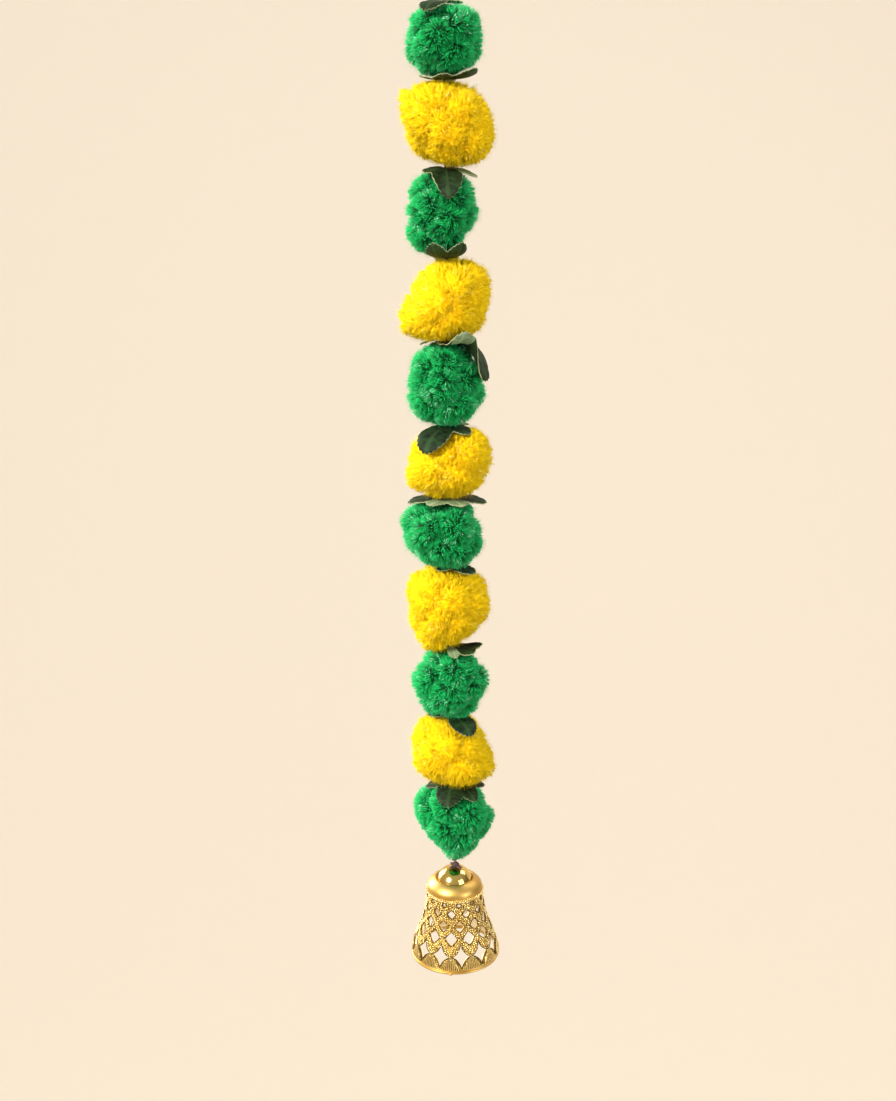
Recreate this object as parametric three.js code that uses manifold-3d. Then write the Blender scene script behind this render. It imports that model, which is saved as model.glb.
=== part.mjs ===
// Garland strand: yarn pompoms, cloth leaf pieces and a pierced bell on one hanging thread.
// Millimetres, +Z up. The origin is the inner crown of the hanging loop, and -Y is the front.
import * as THREE from 'three';
import { ConvexHull } from 'three/addons/math/ConvexHull.js';
import { mergeVertices } from 'three/addons/utils/BufferGeometryUtils.js';
import Module from 'manifold-3d';

const wasm = await Module();
wasm.setup();

// Running gap between pieces that touch
const GAP = 0.3;

// Thread, binding turns and the hole they need
const THREAD_RADIUS = 0.75;
const THREAD_SIDES = 8;
const TIE_OUTER_RADIUS = 2.5;
const TIE_HEIGHT = 4;
const LOOP_SWING = 9;
const LOOP_STEPS = 20;
const LOOP_START = 0.08;
const TOP_KNOT_Z = -37;
const TOP_KNOT_RADIUS = 2.6;
const STOP_KNOT_Z = -529.3;
const STOP_KNOT_RADIUS = 1.7;
const KNOT_STEPS = 4;

// Heights of the leaf pieces, from the top of the strand down, and of the last pompom's foot
const SEATS = [-47.2, -84.4, -128.5, -174.2, -218, -265.3, -305.8, -345.6, -393.2, -436.1, -478.3];
const STRAND_FOOT = -526.6;
const SEAT_ROOM = 0.9;
const SURFACE_STEPS = 12;

// Pompoms from the top down. skew widens the upper half, square and foot set how full the upper
// and lower halves are, shift is how far the yarn lies off the thread, and part is the depth of
// the parting between its two halves at the azimuth partAt.
const POMPOMS = [
  { yarn: 'green', radius: 20.6, skew: 0.02, square: 3.1, foot: 3.0, shift: [0.2, 0.4] },
  { yarn: 'yellow', radius: 24.0, skew: -0.06, square: 3.0, foot: 2.6, shift: [1.3, -0.5] },
  {
    yarn: 'green', radius: 19.9, skew: 0.03, square: 2.4, foot: 2.6, shift: [-1.4, 0.6],
    part: 0.1, partAt: -95,
  },
  { yarn: 'yellow', radius: 23.9, skew: -0.12, square: 2.5, foot: 3.0, shift: [-0.6, -0.8] },
  {
    yarn: 'green', radius: 21.2, skew: -0.03, square: 2.7, foot: 2.6, shift: [-1.1, 0.3],
    part: 0.07, partAt: -115,
  },
  { yarn: 'yellow', radius: 24.0, skew: 0.02, square: 2.6, foot: 2.5, shift: [0.4, 0.7] },
  {
    yarn: 'green', radius: 22.5, skew: 0, square: 2.8, foot: 2.8, shift: [-2.4, -0.6],
    part: 0.1, partAt: -82,
  },
  { yarn: 'yellow', radius: 24.3, skew: 0.02, square: 2.7, foot: 2.4, shift: [-1.1, 0.5] },
  {
    yarn: 'green', radius: 21.6, skew: 0, square: 2.4, foot: 2.6, shift: [-0.7, -0.4],
    part: 0.04, partAt: 70,
  },
  { yarn: 'yellow', radius: 24.2, skew: -0.09, square: 2.8, foot: 2.7, shift: [-0.2, 0.6] },
  {
    yarn: 'green', radius: 22.8, skew: 0.08, square: 2.4, foot: 1.7, shift: [0.4, -0.3],
    part: 0.06, partAt: -75,
  },
];
const TUFT_COUNT = 120;
const TUFT_DEPTH = 4.2;
const TUFT_UNEVEN = 0.07;
const TUFT_STRAY = 0.09;
const LUMP = 0.035;
const PARTING_WIDTH = 16;
const HOLE_MARGIN = 5;

// Leaf pieces from the top down, each a list of lobes. at is the azimuth in degrees (-90 is the
// front), reach the length from the thread, spread half its angle, and from and to say where
// root and tip lie: -1 on the pompom below, 0 free between the two, 1 under the pompom above.
const LEAVES = [
  [lobe(-108, 15, 54, -1, -1), lobe(36, 15, 50, -1, -0.6)],
  [
    lobe(-32, 20, 60, 0.7, 1), lobe(-92, 15, 50, 0.6, 0.9),
    lobe(-150, 17, 54, 0.7, 1), lobe(90, 17, 50, -1, -1),
  ],
  [
    lobe(-86, 27, 50, -1, -1), lobe(-130, 14, 40, -0.7, -0.1),
    lobe(-30, 20, 30, -0.9, -0.3), lobe(108, 18, 50, -1, -1),
  ],
  [lobe(-112, 21, 44, 0.5, 1), lobe(-66, 21, 44, 0.5, 1), lobe(90, 18, 56, -1, -1)],
  [
    lobe(-42, 24, 36, 0.2, 1), lobe(2, 32, 32, -0.95, -0.95),
    lobe(-98, 13, 36, -0.2, 0.4), lobe(144, 16, 56, -1, -1),
  ],
  [lobe(-122, 25, 54, -0.95, -0.9), lobe(-50, 15, 50, -1, -1), lobe(72, 19, 54, -1, -1)],
  [
    lobe(184, 21, 50, -0.5, -0.4), lobe(-126, 17, 50, -0.4, -0.3),
    lobe(-68, 17, 50, -0.3, -0.2), lobe(-8, 21, 52, -0.1, -0.2), lobe(90, 14, 44, -0.8, -0.9),
  ],
  [lobe(-36, 16, 50, -0.7, -0.6), lobe(-130, 10, 50, -0.6, -0.5), lobe(72, 20, 54, -1, -1)],
  [
    lobe(-24, 21, 36, -0.3, 0.9), lobe(-66, 19, 40, -0.8, -0.5),
    lobe(180, 13, 44, -1, -1), lobe(90, 18, 44, -1, -1),
  ],
  [lobe(-60, 20, 56, -1, -0.9), lobe(162, 14, 54, -1, -1), lobe(54, 16, 46, -1, -0.8)],
  [
    lobe(-100, 21, 62, -1, -1), lobe(-50, 20, 46, -1, -1),
    lobe(180, 16, 50, -0.9, -0.9), lobe(0, 18, 50, -0.9, -0.6), lobe(90, 18, 54, -1, -1),
  ],
];
const LEAF_THICKNESS = 0.8;
const LEAF_LIFT = 0.7;
const LEAF_SAMPLES = 20;
const LEAF_ROOT = 4.6;
const LEAF_WAVE = 0.06;
const LEAF_FULLNESS = 1.5;
const LEAF_TURN_WIDTH = 26;
const SHORT_LEAF = 20;
const SHORT_LEAF_RINGS = [0, 0.5, 1];
const LONG_LEAF_RINGS = [0, 0.34, 0.68, 1];

// Bead and bell, with heights in the bell counted up from its mouth
const BEAD_RADIUS = 11;
const BEAD_Z = -544.6;
const BEAD_SIDES = 16;
const BEAD_STEPS = 8;
const BELL_MOUTH_Z = -591.7;
const BELL_COLUMNS = 12;
const BELL_TURN = 8;
const BELL_WALL = 1.2;

// Lattice wall of the bell as radius and height, from the ring down to the rim
const LATTICE_WALL = [[16.1, 42.8], [17.0, 35], [18.5, 26.5], [21.2, 18.5], [24.2, 10.4], [25.9, 2.6]];
const RIM = [[26.2, 1.4], [26.2, 0], [25.0, 0]];
const CROWN_OUTSIDE = [[16.1, 42.8], [16.4, 44.6], [15.9, 47.0], [14.0, 49.3], [11.4, 50.9]];
const CROWN_INSIDE = [[10.75, 50.6], [11.1, 49.3], [13.1, 48.2], [14.9, 44.6], [14.9, 42.8]];

// Rows of holes in the lattice: height, width and height of a hole, whether the row stands half
// a column aside, and how far the hollow sides of a star reach from its middle
const BELL_ROWS = [
  { height: 40.2, size: [2.6, 2.4], aside: false, hollow: 0 },
  { height: 34.8, size: [4.5, 4.8], aside: true, hollow: 0 },
  { height: 27.4, size: [5.4, 6.4], aside: false, hollow: 0 },
  { height: 20.6, size: [6.8, 7.4], aside: true, hollow: 0 },
  { height: 10.4, size: [11.0, 13.0], aside: false, hollow: 0.42 },
];

// Knot and end of the bell's thread, as radius and distance below the bead
const BELL_KNOT = [[2.2, 0.4], [2.4, 2.2], [1.6, 3.9], [0.75, 4.4], [0.7, 10]];

const YARN_GREEN = new THREE.MeshStandardMaterial({ color: 0x0f9a4c, roughness: 0.75, metalness: 0 });
const YARN_YELLOW = new THREE.MeshStandardMaterial({ color: 0xf4c414, roughness: 0.8, metalness: 0 });
const LEAF_CLOTH = new THREE.MeshStandardMaterial({ color: 0x2c4526, roughness: 0.7, metalness: 0 });
const THREAD_BROWN = new THREE.MeshStandardMaterial({ color: 0x4a3a22, roughness: 0.85, metalness: 0 });
const GOLD = new THREE.MeshStandardMaterial({ color: 0xd9a640, roughness: 0.25, metalness: 1 });

function lobe(at, reach, spread, from, to) {
  return { at, reach, spread, from, to };
}

function mix(start, end, share) {
  return start + (end - start) * share;
}

// Angle from one azimuth to another in degrees, between -180 and 180
function turnBetween(azimuth, other) {
  return ((((azimuth - other) % 360) + 540) % 360) - 180;
}

// Closed geometry as a solid that can be cut or joined
function solidOf(geometry) {
  const bare = geometry.index ? geometry.clone() : geometry;
  bare.deleteAttribute('normal');
  bare.deleteAttribute('uv');
  const merged = mergeVertices(bare, 1e-4);
  return new wasm.Manifold(new wasm.Mesh({
    numProp: 3,
    vertProperties: new Float32Array(merged.attributes.position.array),
    triVerts: new Uint32Array(merged.index.array),
  }));
}

// The largest body of a solid as geometry again
function geometryOf(solid) {
  const bodies = solid.decompose();
  const largest = bodies.reduce((best, body) => (body.volume() > best.volume() ? body : best));
  const mesh = largest.getMesh();
  const geometry = new THREE.BufferGeometry();
  geometry.setAttribute('position', new THREE.BufferAttribute(mesh.vertProperties, mesh.numProp));
  geometry.setIndex(new THREE.BufferAttribute(mesh.triVerts, 1));
  return geometry;
}

// Turned piece about the Z axis from its profile of radius and height, listed top to bottom
// along the outside, so that the faces point out
function turned(profile, segments) {
  const points = profile.map(([radius, height]) => new THREE.Vector2(radius, height)).reverse();
  const geometry = new THREE.LatheGeometry(points, segments);
  geometry.rotateX(Math.PI / 2);
  return geometry;
}

function named(geometry, material, name, z) {
  const mesh = new THREE.Mesh(geometry, material);
  mesh.name = name;
  mesh.position.set(0, 0, z);
  return mesh;
}

// A pompom's full description, with its middle, half height and own unevenness
function pompomForm(spec, index) {
  const top = SEATS[index] - SEAT_ROOM;
  const last = index === POMPOMS.length - 1;
  const bottom = last ? STRAND_FOOT : SEATS[index + 1] + SEAT_ROOM;
  const unparted = { part: 0, partAt: 0 };
  const middle = (top + bottom) / 2;
  return { ...unparted, ...spec, middle, halfHeight: (top - bottom) / 2, seed: index + 1 };
}

// Distance from a pompom's middle to its outer form in one direction
function formRadius(form, direction) {
  const { x, y, z } = direction;
  const girth = form.radius * (1 + form.skew * z);
  const fullness = z > 0 ? form.square : form.foot;
  const across = Math.hypot(x, y) / girth;
  const along = Math.abs(z) / form.halfHeight;
  const round = (across ** fullness + along ** fullness) ** (-1 / fullness);
  const azimuth = Math.atan2(y, x);
  const lumps = LUMP * (1 - z * z) * (Math.sin(3 * azimuth + form.seed * 1.7)
    + 0.7 * Math.sin(2 * azimuth + 5 * z + form.seed * 2.9));
  const off = turnBetween(THREE.MathUtils.radToDeg(azimuth), form.partAt) / PARTING_WIDTH;
  const parted = form.part * Math.exp(-off * off) * (1 - z * z);
  const uneven = round * (1 + lumps - parted);
  return Math.min(uneven, form.halfHeight / Math.max(Math.abs(z), 0.01));
}

// Evenly spread directions, each moved a little by a seeded draw
function tuftDirections(seed) {
  const golden = Math.PI * (3 - Math.sqrt(5));
  const directions = [];
  for (let k = 0; k < TUFT_COUNT; k += 1) {
    const stray = (salt) => {
      const drawn = THREE.MathUtils.seededRandom(seed * 1000 + k * 7 + salt);
      return mix(-TUFT_STRAY, TUFT_STRAY, drawn);
    };
    const z = 1 - (2 * k + 1) / TUFT_COUNT;
    const ring = Math.sqrt(1 - z * z);
    const direction = new THREE.Vector3(ring * Math.cos(golden * k), ring * Math.sin(golden * k), z);
    direction.add(new THREE.Vector3(stray(1), stray(2), stray(3))).normalize();
    directions.push(direction);
  }
  return directions;
}

// The three edges of one face of a hull
function edgesOf(face) {
  return [face.edge, face.edge.next, face.edge.next.next];
}

// Ball of yarn tufts: each tuft is a point that stands out of a valley net round it
function tuftedBall(form) {
  const tips = tuftDirections(form.seed);
  const hull = new ConvexHull().setFromPoints(tips);
  const vertices = tips.map((tip, k) => {
    const short = THREE.MathUtils.seededRandom(form.seed * 500 + k) * TUFT_UNEVEN;
    return tip.clone().multiplyScalar(formRadius(form, tip) * (1 - short));
  });
  const valleyOf = new Map();
  for (const face of hull.faces) {
    const middle = new THREE.Vector3();
    edgesOf(face).forEach((edge) => middle.add(edge.head().point));
    middle.normalize();
    valleyOf.set(face, vertices.length);
    vertices.push(middle.clone().multiplyScalar(formRadius(form, middle) - TUFT_DEPTH));
  }
  const triangles = [];
  for (const face of hull.faces) {
    for (const edge of edgesOf(face)) {
      const start = tips.indexOf(edge.tail().point);
      triangles.push(start, valleyOf.get(edge.twin.face), valleyOf.get(face));
    }
  }
  const geometry = new THREE.BufferGeometry().setFromPoints(vertices);
  geometry.setIndex(triangles);
  geometry.translate(form.shift[0], form.shift[1], 0);
  return geometry;
}

// Pompom with the hole through its heart for the thread and its binding
function pompom(form) {
  const radius = TIE_OUTER_RADIUS + GAP;
  const length = 2 * (form.halfHeight + HOLE_MARGIN);
  const hole = new THREE.CylinderGeometry(radius, radius, length, THREAD_SIDES);
  hole.rotateX(Math.PI / 2);
  return geometryOf(solidOf(tuftedBall(form)).subtract(solidOf(hole)));
}

// Binding turns round the thread at a pompom's heart
function tie() {
  const inner = THREAD_RADIUS + GAP;
  const half = TIE_HEIGHT / 2;
  const outside = [[TIE_OUTER_RADIUS, half], [TIE_OUTER_RADIUS, -half]];
  return turned([[inner, half], ...outside, [inner, -half], [inner, half]], THREAD_SIDES);
}

// Point a little outside a pompom's form, on a line from the thread at the pompom's height. The
// distance is found step by step, because the yarn lies off the thread.
function surfacePoint(form, direction, room) {
  const heart = new THREE.Vector3(form.shift[0], form.shift[1], form.middle);
  const start = new THREE.Vector3(0, 0, form.middle);
  let reach = form.radius;
  for (let k = 0; k < SURFACE_STEPS; k += 1) {
    const offset = start.clone().addScaledVector(direction, reach).sub(heart);
    const distance = offset.length();
    reach += formRadius(form, offset.normalize()) - distance;
  }
  return start.addScaledVector(direction, reach + room);
}

// Point of a leaf piece's middle surface, at a distance from the thread along one azimuth
function leafPoint(below, above, azimuth, distance, side) {
  const angle = THREE.MathUtils.degToRad(azimuth);
  const on = (form, up) => {
    const tilt = distance / (form.halfHeight + SEAT_ROOM);
    const flat = Math.sin(tilt);
    const rise = up * Math.cos(tilt);
    const direction = new THREE.Vector3(flat * Math.cos(angle), flat * Math.sin(angle), rise);
    return surfacePoint(form, direction, SEAT_ROOM + LEAF_LIFT * flat);
  };
  return on(below, 1).lerp(on(above, -1), (side + 1) / 2);
}

// Reach of a leaf piece's waved outline in one direction
function leafReach(lobes, azimuth) {
  const reaches = lobes.map(({ at, reach, spread }) => {
    const turn = Math.abs(turnBetween(azimuth, at));
    const even = Math.round(turn / (360 / LEAF_SAMPLES)) % 2 === 0;
    const waved = reach * (even ? 1 + LEAF_WAVE : 1 - LEAF_WAVE);
    const share = Math.max(0, 1 - (turn / spread) ** LEAF_FULLNESS);
    return mix(LEAF_ROOT, waved, share);
  });
  return Math.max(...reaches);
}

// Where a leaf piece lies between its two pompoms, blended between neighbouring lobes
function leafSide(lobes, azimuth, share) {
  let total = 0;
  let weights = 0;
  for (const { at, from, to } of lobes) {
    const turn = turnBetween(azimuth, at) / LEAF_TURN_WIDTH;
    const weight = Math.exp(-turn * turn) + 1e-6;
    total += weight * mix(from, to, share);
    weights += weight;
  }
  return total / weights;
}

// Leaf piece between two pompoms: one cloth sheet round the thread, draped lobe by lobe
function leafPiece(lobes, below, above) {
  const longest = Math.max(...lobes.map(({ reach }) => reach));
  const shares = longest > SHORT_LEAF ? LONG_LEAF_RINGS : SHORT_LEAF_RINGS;
  const hole = THREAD_RADIUS + GAP;
  const grid = shares.map((share) => {
    const ring = [];
    for (let k = 0; k < LEAF_SAMPLES; k += 1) {
      const azimuth = (360 / LEAF_SAMPLES) * k;
      const distance = mix(hole, leafReach(lobes, azimuth), share);
      ring.push(leafPoint(below, above, azimuth, distance, leafSide(lobes, azimuth, share)));
    }
    return ring;
  });
  return sheetSolid(grid, LEAF_THICKNESS);
}

// Closed sheet of even thickness over a grid of rings round an open middle
function sheetSolid(grid, thickness) {
  const rings = grid.length;
  const count = grid[0].length;
  const sides = { upper: [], lower: [] };
  for (let j = 0; j < rings; j += 1) {
    for (let k = 0; k < count; k += 1) {
      const outward = grid[Math.min(j + 1, rings - 1)][k].clone().sub(grid[Math.max(j - 1, 0)][k]);
      const around = grid[j][(k + 1) % count].clone().sub(grid[j][(k + count - 1) % count]);
      const normal = outward.cross(around).normalize();
      sides.upper.push(grid[j][k].clone().addScaledVector(normal, thickness / 2));
      sides.lower.push(grid[j][k].clone().addScaledVector(normal, -thickness / 2));
    }
  }
  const lowerStart = rings * count;
  const triangles = [];
  const quad = (a, b, c, d) => triangles.push(a, b, c, a, c, d);
  for (let k = 0; k < count; k += 1) {
    const next = (k + 1) % count;
    for (let j = 0; j < rings - 1; j += 1) {
      const corners = [j * count + k, (j + 1) * count + k, (j + 1) * count + next, j * count + next];
      quad(...corners);
      triangles.push(...[0, 2, 1, 0, 3, 2].map((corner) => corners[corner] + lowerStart));
    }
    const rim = (rings - 1) * count;
    quad(rim + k, rim + k + lowerStart, rim + next + lowerStart, rim + next);
    quad(k, next, next + lowerStart, k + lowerStart);
  }
  const geometry = new THREE.BufferGeometry().setFromPoints([...sides.upper, ...sides.lower]);
  geometry.setIndex(triangles);
  return geometry;
}

// Centre line of the hanging loop, from the top knot round to the top knot again
class LoopCurve extends THREE.Curve {
  getPoint(share) {
    const turn = mix(LOOP_START, 1 - LOOP_START, share) * Math.PI;
    const rise = (THREAD_RADIUS - TOP_KNOT_Z) * (1 - Math.cos(2 * turn)) / 2;
    return new THREE.Vector3(LOOP_SWING * Math.sin(2 * turn) * Math.sin(turn), 0, TOP_KNOT_Z + rise);
  }
}

// Profile of a ball about the thread, from where it starts at one radius to where it ends there
function ballProfile(z, radius, endRadius, steps) {
  const start = Math.asin(endRadius / radius);
  const points = [];
  for (let k = 0; k <= steps; k += 1) {
    const angle = mix(start, Math.PI - start, k / steps);
    points.push([radius * Math.sin(angle), z + radius * Math.cos(angle)]);
  }
  return points;
}

// Stringing thread with its hanging loop, top knot and stopper knot, in one piece
function thread() {
  const topKnot = ballProfile(TOP_KNOT_Z, TOP_KNOT_RADIUS, THREAD_RADIUS, KNOT_STEPS);
  const stopKnot = ballProfile(STOP_KNOT_Z, STOP_KNOT_RADIUS, THREAD_RADIUS, KNOT_STEPS);
  const profile = [[0, topKnot[0][1]], ...topKnot, ...stopKnot, [0, stopKnot.at(-1)[1]]];
  const section = new THREE.Shape();
  for (let k = 0; k < THREAD_SIDES; k += 1) {
    const angle = (2 * Math.PI * k) / THREAD_SIDES;
    const draw = k === 0 ? 'moveTo' : 'lineTo';
    section[draw](THREAD_RADIUS * Math.cos(angle), THREAD_RADIUS * Math.sin(angle));
  }
  section.closePath();
  const loop = new THREE.ExtrudeGeometry(section, {
    steps: LOOP_STEPS, bevelEnabled: false, extrudePath: new LoopCurve(),
  });
  return geometryOf(solidOf(turned(profile, THREAD_SIDES)).add(solidOf(loop)));
}

// Bell thread from under the stopper knot, through the bead, to its own knot and cut end
function bellThread() {
  const top = STOP_KNOT_RADIUS + GAP;
  const beadFoot = STOP_KNOT_Z - BEAD_Z + BEAD_RADIUS;
  const knot = BELL_KNOT.map(([radius, below]) => [radius, -beadFoot - below]);
  const stretch = [[THREAD_RADIUS, -top], [THREAD_RADIUS, -beadFoot - GAP]];
  return turned([[0, -top], ...stretch, ...knot, [0, knot.at(-1)[1]]], THREAD_SIDES);
}

// Round bead with its bore
function bead() {
  const profile = ballProfile(0, BEAD_RADIUS, THREAD_RADIUS + GAP, BEAD_STEPS);
  return turned([...profile, profile[0]], BEAD_SIDES);
}

// Outline of one hole round its own middle, a diamond or a four-pointed star with hollow sides
function holeOutline([width, height], hollow) {
  const points = [];
  for (let k = 0; k < 4; k += 1) {
    const angle = (Math.PI / 2) * k;
    points.push([(width / 2) * Math.cos(angle), (height / 2) * Math.sin(angle)]);
    if (hollow > 0) {
      const reach = hollow / 2;
      const between = angle + Math.PI / 4;
      points.push([width * reach * Math.cos(between), height * reach * Math.sin(between)]);
    }
  }
  return points;
}

// Outer radius of the lattice wall at one height
function wallRadius(height) {
  const below = LATTICE_WALL.findIndex(([, level], k) => k > 0 && height >= level - 1e-9);
  const [upperRadius, upper] = LATTICE_WALL[below - 1];
  const [lowerRadius, lower] = LATTICE_WALL[below];
  return mix(lowerRadius, upperRadius, (height - lower) / (upper - lower));
}

// One column of the lattice unrolled: its outline between two seams that run along the ribbons,
// and its holes, all as points of azimuth in degrees and height
function latticeColumn() {
  const half = 180 / BELL_COLUMNS;
  const top = LATTICE_WALL[0][1];
  const foot = LATTICE_WALL.at(-1)[1];
  const seam = BELL_ROWS.map(({ height, aside }) => [aside ? 0 : -half, height]);
  const left = [[-half, top], ...seam, [-half, foot]];
  const right = left.map(([azimuth, height]) => [azimuth + 2 * half, height]).reverse();
  const outline = [...left, [0, foot], ...right, [0, top]];
  const holes = BELL_ROWS.map(({ height, size, aside, hollow }) => {
    const degrees = 180 / (Math.PI * wallRadius(height));
    const middle = aside ? half : 0;
    return holeOutline(size, hollow).map(([across, up]) => [middle + across * degrees, height + up]);
  });
  return { outline, holes };
}

// Triangles of the bell as a plain list of corner points
class Facets {
  constructor() {
    this.corners = [];
  }

  triangle(...points) {
    for (const [azimuth, height, radius] of points) {
      const angle = THREE.MathUtils.degToRad(azimuth + BELL_TURN - 90);
      this.corners.push(new THREE.Vector3(radius * Math.cos(angle), radius * Math.sin(angle), height));
    }
  }

  quad(a, b, c, d) {
    this.triangle(a, b, c);
    this.triangle(a, c, d);
  }

  // Band turned about the axis from a profile that runs down the outside or up the inside
  band(profile) {
    const step = 180 / BELL_COLUMNS;
    for (let azimuth = 0; azimuth < 360; azimuth += step) {
      for (let k = 0; k + 1 < profile.length; k += 1) {
        const at = (turn, [radius, height]) => [turn, height, radius];
        const next = azimuth + step;
        const lower = [at(azimuth, profile[k + 1]), at(next, profile[k + 1])];
        this.quad(...lower, at(next, profile[k]), at(azimuth, profile[k]));
      }
    }
  }

  geometry() {
    return new THREE.BufferGeometry().setFromPoints(this.corners);
  }
}

// Both faces of one lattice column and the walls of its holes
function addColumn(facets, turn) {
  const { outline, holes } = latticeColumn();
  const plane = (points) => points.map(([azimuth, height]) => new THREE.Vector2(azimuth, height));
  const points = [...outline, ...holes.flat()];
  const outside = points.map(([azimuth, height]) => [azimuth + turn, height, wallRadius(height)]);
  const inside = outside.map(([azimuth, height, radius]) => [azimuth, height, radius - BELL_WALL]);
  for (const [a, b, c] of THREE.ShapeUtils.triangulateShape(plane(outline), holes.map(plane))) {
    facets.triangle(outside[a], outside[b], outside[c]);
    facets.triangle(inside[a], inside[c], inside[b]);
  }
  let start = outline.length;
  for (const hole of holes) {
    for (let k = 0; k < hole.length; k += 1) {
      const here = start + k;
      const next = start + ((k + 1) % hole.length);
      facets.quad(outside[here], outside[next], inside[next], inside[here]);
    }
    start += hole.length;
  }
}

// Pierced bell: crown ring, lattice wall and rim, closed inside and out
function bell() {
  const inner = ([radius, height]) => [radius - BELL_WALL, height];
  const facets = new Facets();
  facets.band([...CROWN_INSIDE].reverse().concat([...CROWN_OUTSIDE].reverse()));
  facets.band([LATTICE_WALL.at(-1), ...RIM, inner(LATTICE_WALL.at(-1))]);
  for (let k = 0; k < BELL_COLUMNS; k += 1) addColumn(facets, (360 / BELL_COLUMNS) * k);
  return geometryOf(solidOf(facets.geometry()));
}

const forms = POMPOMS.map(pompomForm);
const overTop = { ...forms[0], middle: 2 * SEATS[0] - forms[0].middle };

const strand = new THREE.Group();
strand.add(named(thread(), THREAD_BROWN, 'thread', 0));
const counts = { green: 0, yellow: 0 };
forms.forEach((form, index) => {
  counts[form.yarn] += 1;
  const yarn = form.yarn === 'green' ? YARN_GREEN : YARN_YELLOW;
  strand.add(named(pompom(form), yarn, `pompom_${form.yarn}_${counts[form.yarn]}`, form.middle));
  strand.add(named(tie(), THREAD_BROWN, `tie_${index + 1}`, form.middle));
  const above = index === 0 ? overTop : forms[index - 1];
  strand.add(named(leafPiece(LEAVES[index], form, above), LEAF_CLOTH, `leaf_${index + 1}`, 0));
});

const bellDrop = new THREE.Group();
bellDrop.add(named(bellThread(), THREAD_BROWN, 'bell_thread', STOP_KNOT_Z));
bellDrop.add(named(bead(), GOLD, 'bead', BEAD_Z));
bellDrop.add(named(bell(), GOLD, 'bell', BELL_MOUTH_Z));

const garland = new THREE.Group();
garland.add(strand, bellDrop);

export default garland;
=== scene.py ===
"""Looks of a hanging garland strand: yarn pompoms, cloth leaf pieces, thread, bead and bell.

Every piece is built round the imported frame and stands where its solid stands. Sizes are written
in millimetres, as in the construction of the solids, and MM turns them into metres. The origin is
the inner crown of the hanging loop, +Z is up and -Y is the front.
"""

from __future__ import annotations

import logging
import math
from dataclasses import dataclass, replace
from enum import Enum
from typing import Iterable, Sequence

import bmesh
import bpy
import numpy as np
from mathutils import Euler, Matrix, Vector, geometry

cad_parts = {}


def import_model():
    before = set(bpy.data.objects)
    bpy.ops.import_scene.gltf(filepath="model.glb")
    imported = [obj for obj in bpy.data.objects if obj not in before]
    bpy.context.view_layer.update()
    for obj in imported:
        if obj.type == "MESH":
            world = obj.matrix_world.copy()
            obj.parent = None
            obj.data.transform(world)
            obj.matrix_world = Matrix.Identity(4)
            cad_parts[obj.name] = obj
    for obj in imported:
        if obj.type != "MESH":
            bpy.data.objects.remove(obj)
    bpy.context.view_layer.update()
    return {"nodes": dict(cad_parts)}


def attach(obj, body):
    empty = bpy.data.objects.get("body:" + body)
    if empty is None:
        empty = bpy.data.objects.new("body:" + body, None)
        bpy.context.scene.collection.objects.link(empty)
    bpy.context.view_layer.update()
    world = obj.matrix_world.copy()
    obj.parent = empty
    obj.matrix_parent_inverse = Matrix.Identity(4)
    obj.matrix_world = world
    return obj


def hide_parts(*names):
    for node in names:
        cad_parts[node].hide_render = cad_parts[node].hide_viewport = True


LOG = logging.getLogger("garland")
MM = 0.001

Thing = bpy.types.Object
Mesh = bpy.types.Mesh
BMesh = bmesh.types.BMesh
Material = bpy.types.Material
Tree = bpy.types.NodeTree
Node = bpy.types.Node
Socket = bpy.types.NodeSocket
Array = np.ndarray
Pair = tuple[float, float]
Spot = tuple[float, float, float]
Colour = tuple[float, float, float, float]

# Construction sizes that the looks share with the solids, in millimetres
SEAT_ROOM = 0.9
LEAF_LIFT = 0.7
LUMP = 0.035
PARTING_WIDTH = 16.0
THREAD_RADIUS = 0.75
TOP_KNOT_Z = -37.0
STOP_KNOT_Z = -529.3
STRAND_FOOT = -526.6
BEAD_Z = -544.6
BEAD_RADIUS = 11.0
BELL_MOUTH_Z = -591.7
SEATS = (-47.2, -84.4, -128.5, -174.2, -218.0, -265.3, -305.8, -345.6, -393.2, -436.1, -478.3)

STRAND = "strand"
BEAD_DROP = "bead_drop"
BELL = "bell"
YARN_MAP = "OFBake"
SOFT_WAY = "soft_way"
YARN_SHADE = "yarn_shade"
TONE_RIPPLE = 61.0
FINE_GRAIN = "fine_grain"
MM2_IN_M2 = 1e6
MOST_GRAINS = 1e8
SEED_STEP = 37


def srgb(code: str) -> Colour:
    """Linear colour of a hex code such as "ffd710".

    Args:
        code: Six hex digits.

    Returns:
        Red, green, blue and alpha in linear light.
    """
    parts = [int(code[k : k + 2], 16) / 255 for k in (0, 2, 4)]
    light = [c / 12.92 if c <= 0.04045 else ((c + 0.055) / 1.055) ** 2.4 for c in parts]
    return (light[0], light[1], light[2], 1.0)


def mix(start: float, end: float, share: float) -> float:
    """Value between start and end at a share of the way."""
    return start + (end - start) * share


def turn_between(azimuth: Array, other: float) -> Array:
    """Angle from one azimuth to another in degrees, between -180 and 180."""
    return (azimuth - other + 180.0) % 360.0 - 180.0


def smooth_step(low: float, high: float, value: Array) -> Array:
    """Soft step from 0 at low to 1 at high."""
    share = np.clip((value - low) / (high - low), 0.0, 1.0)
    return share * share * (3 - 2 * share)


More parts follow.
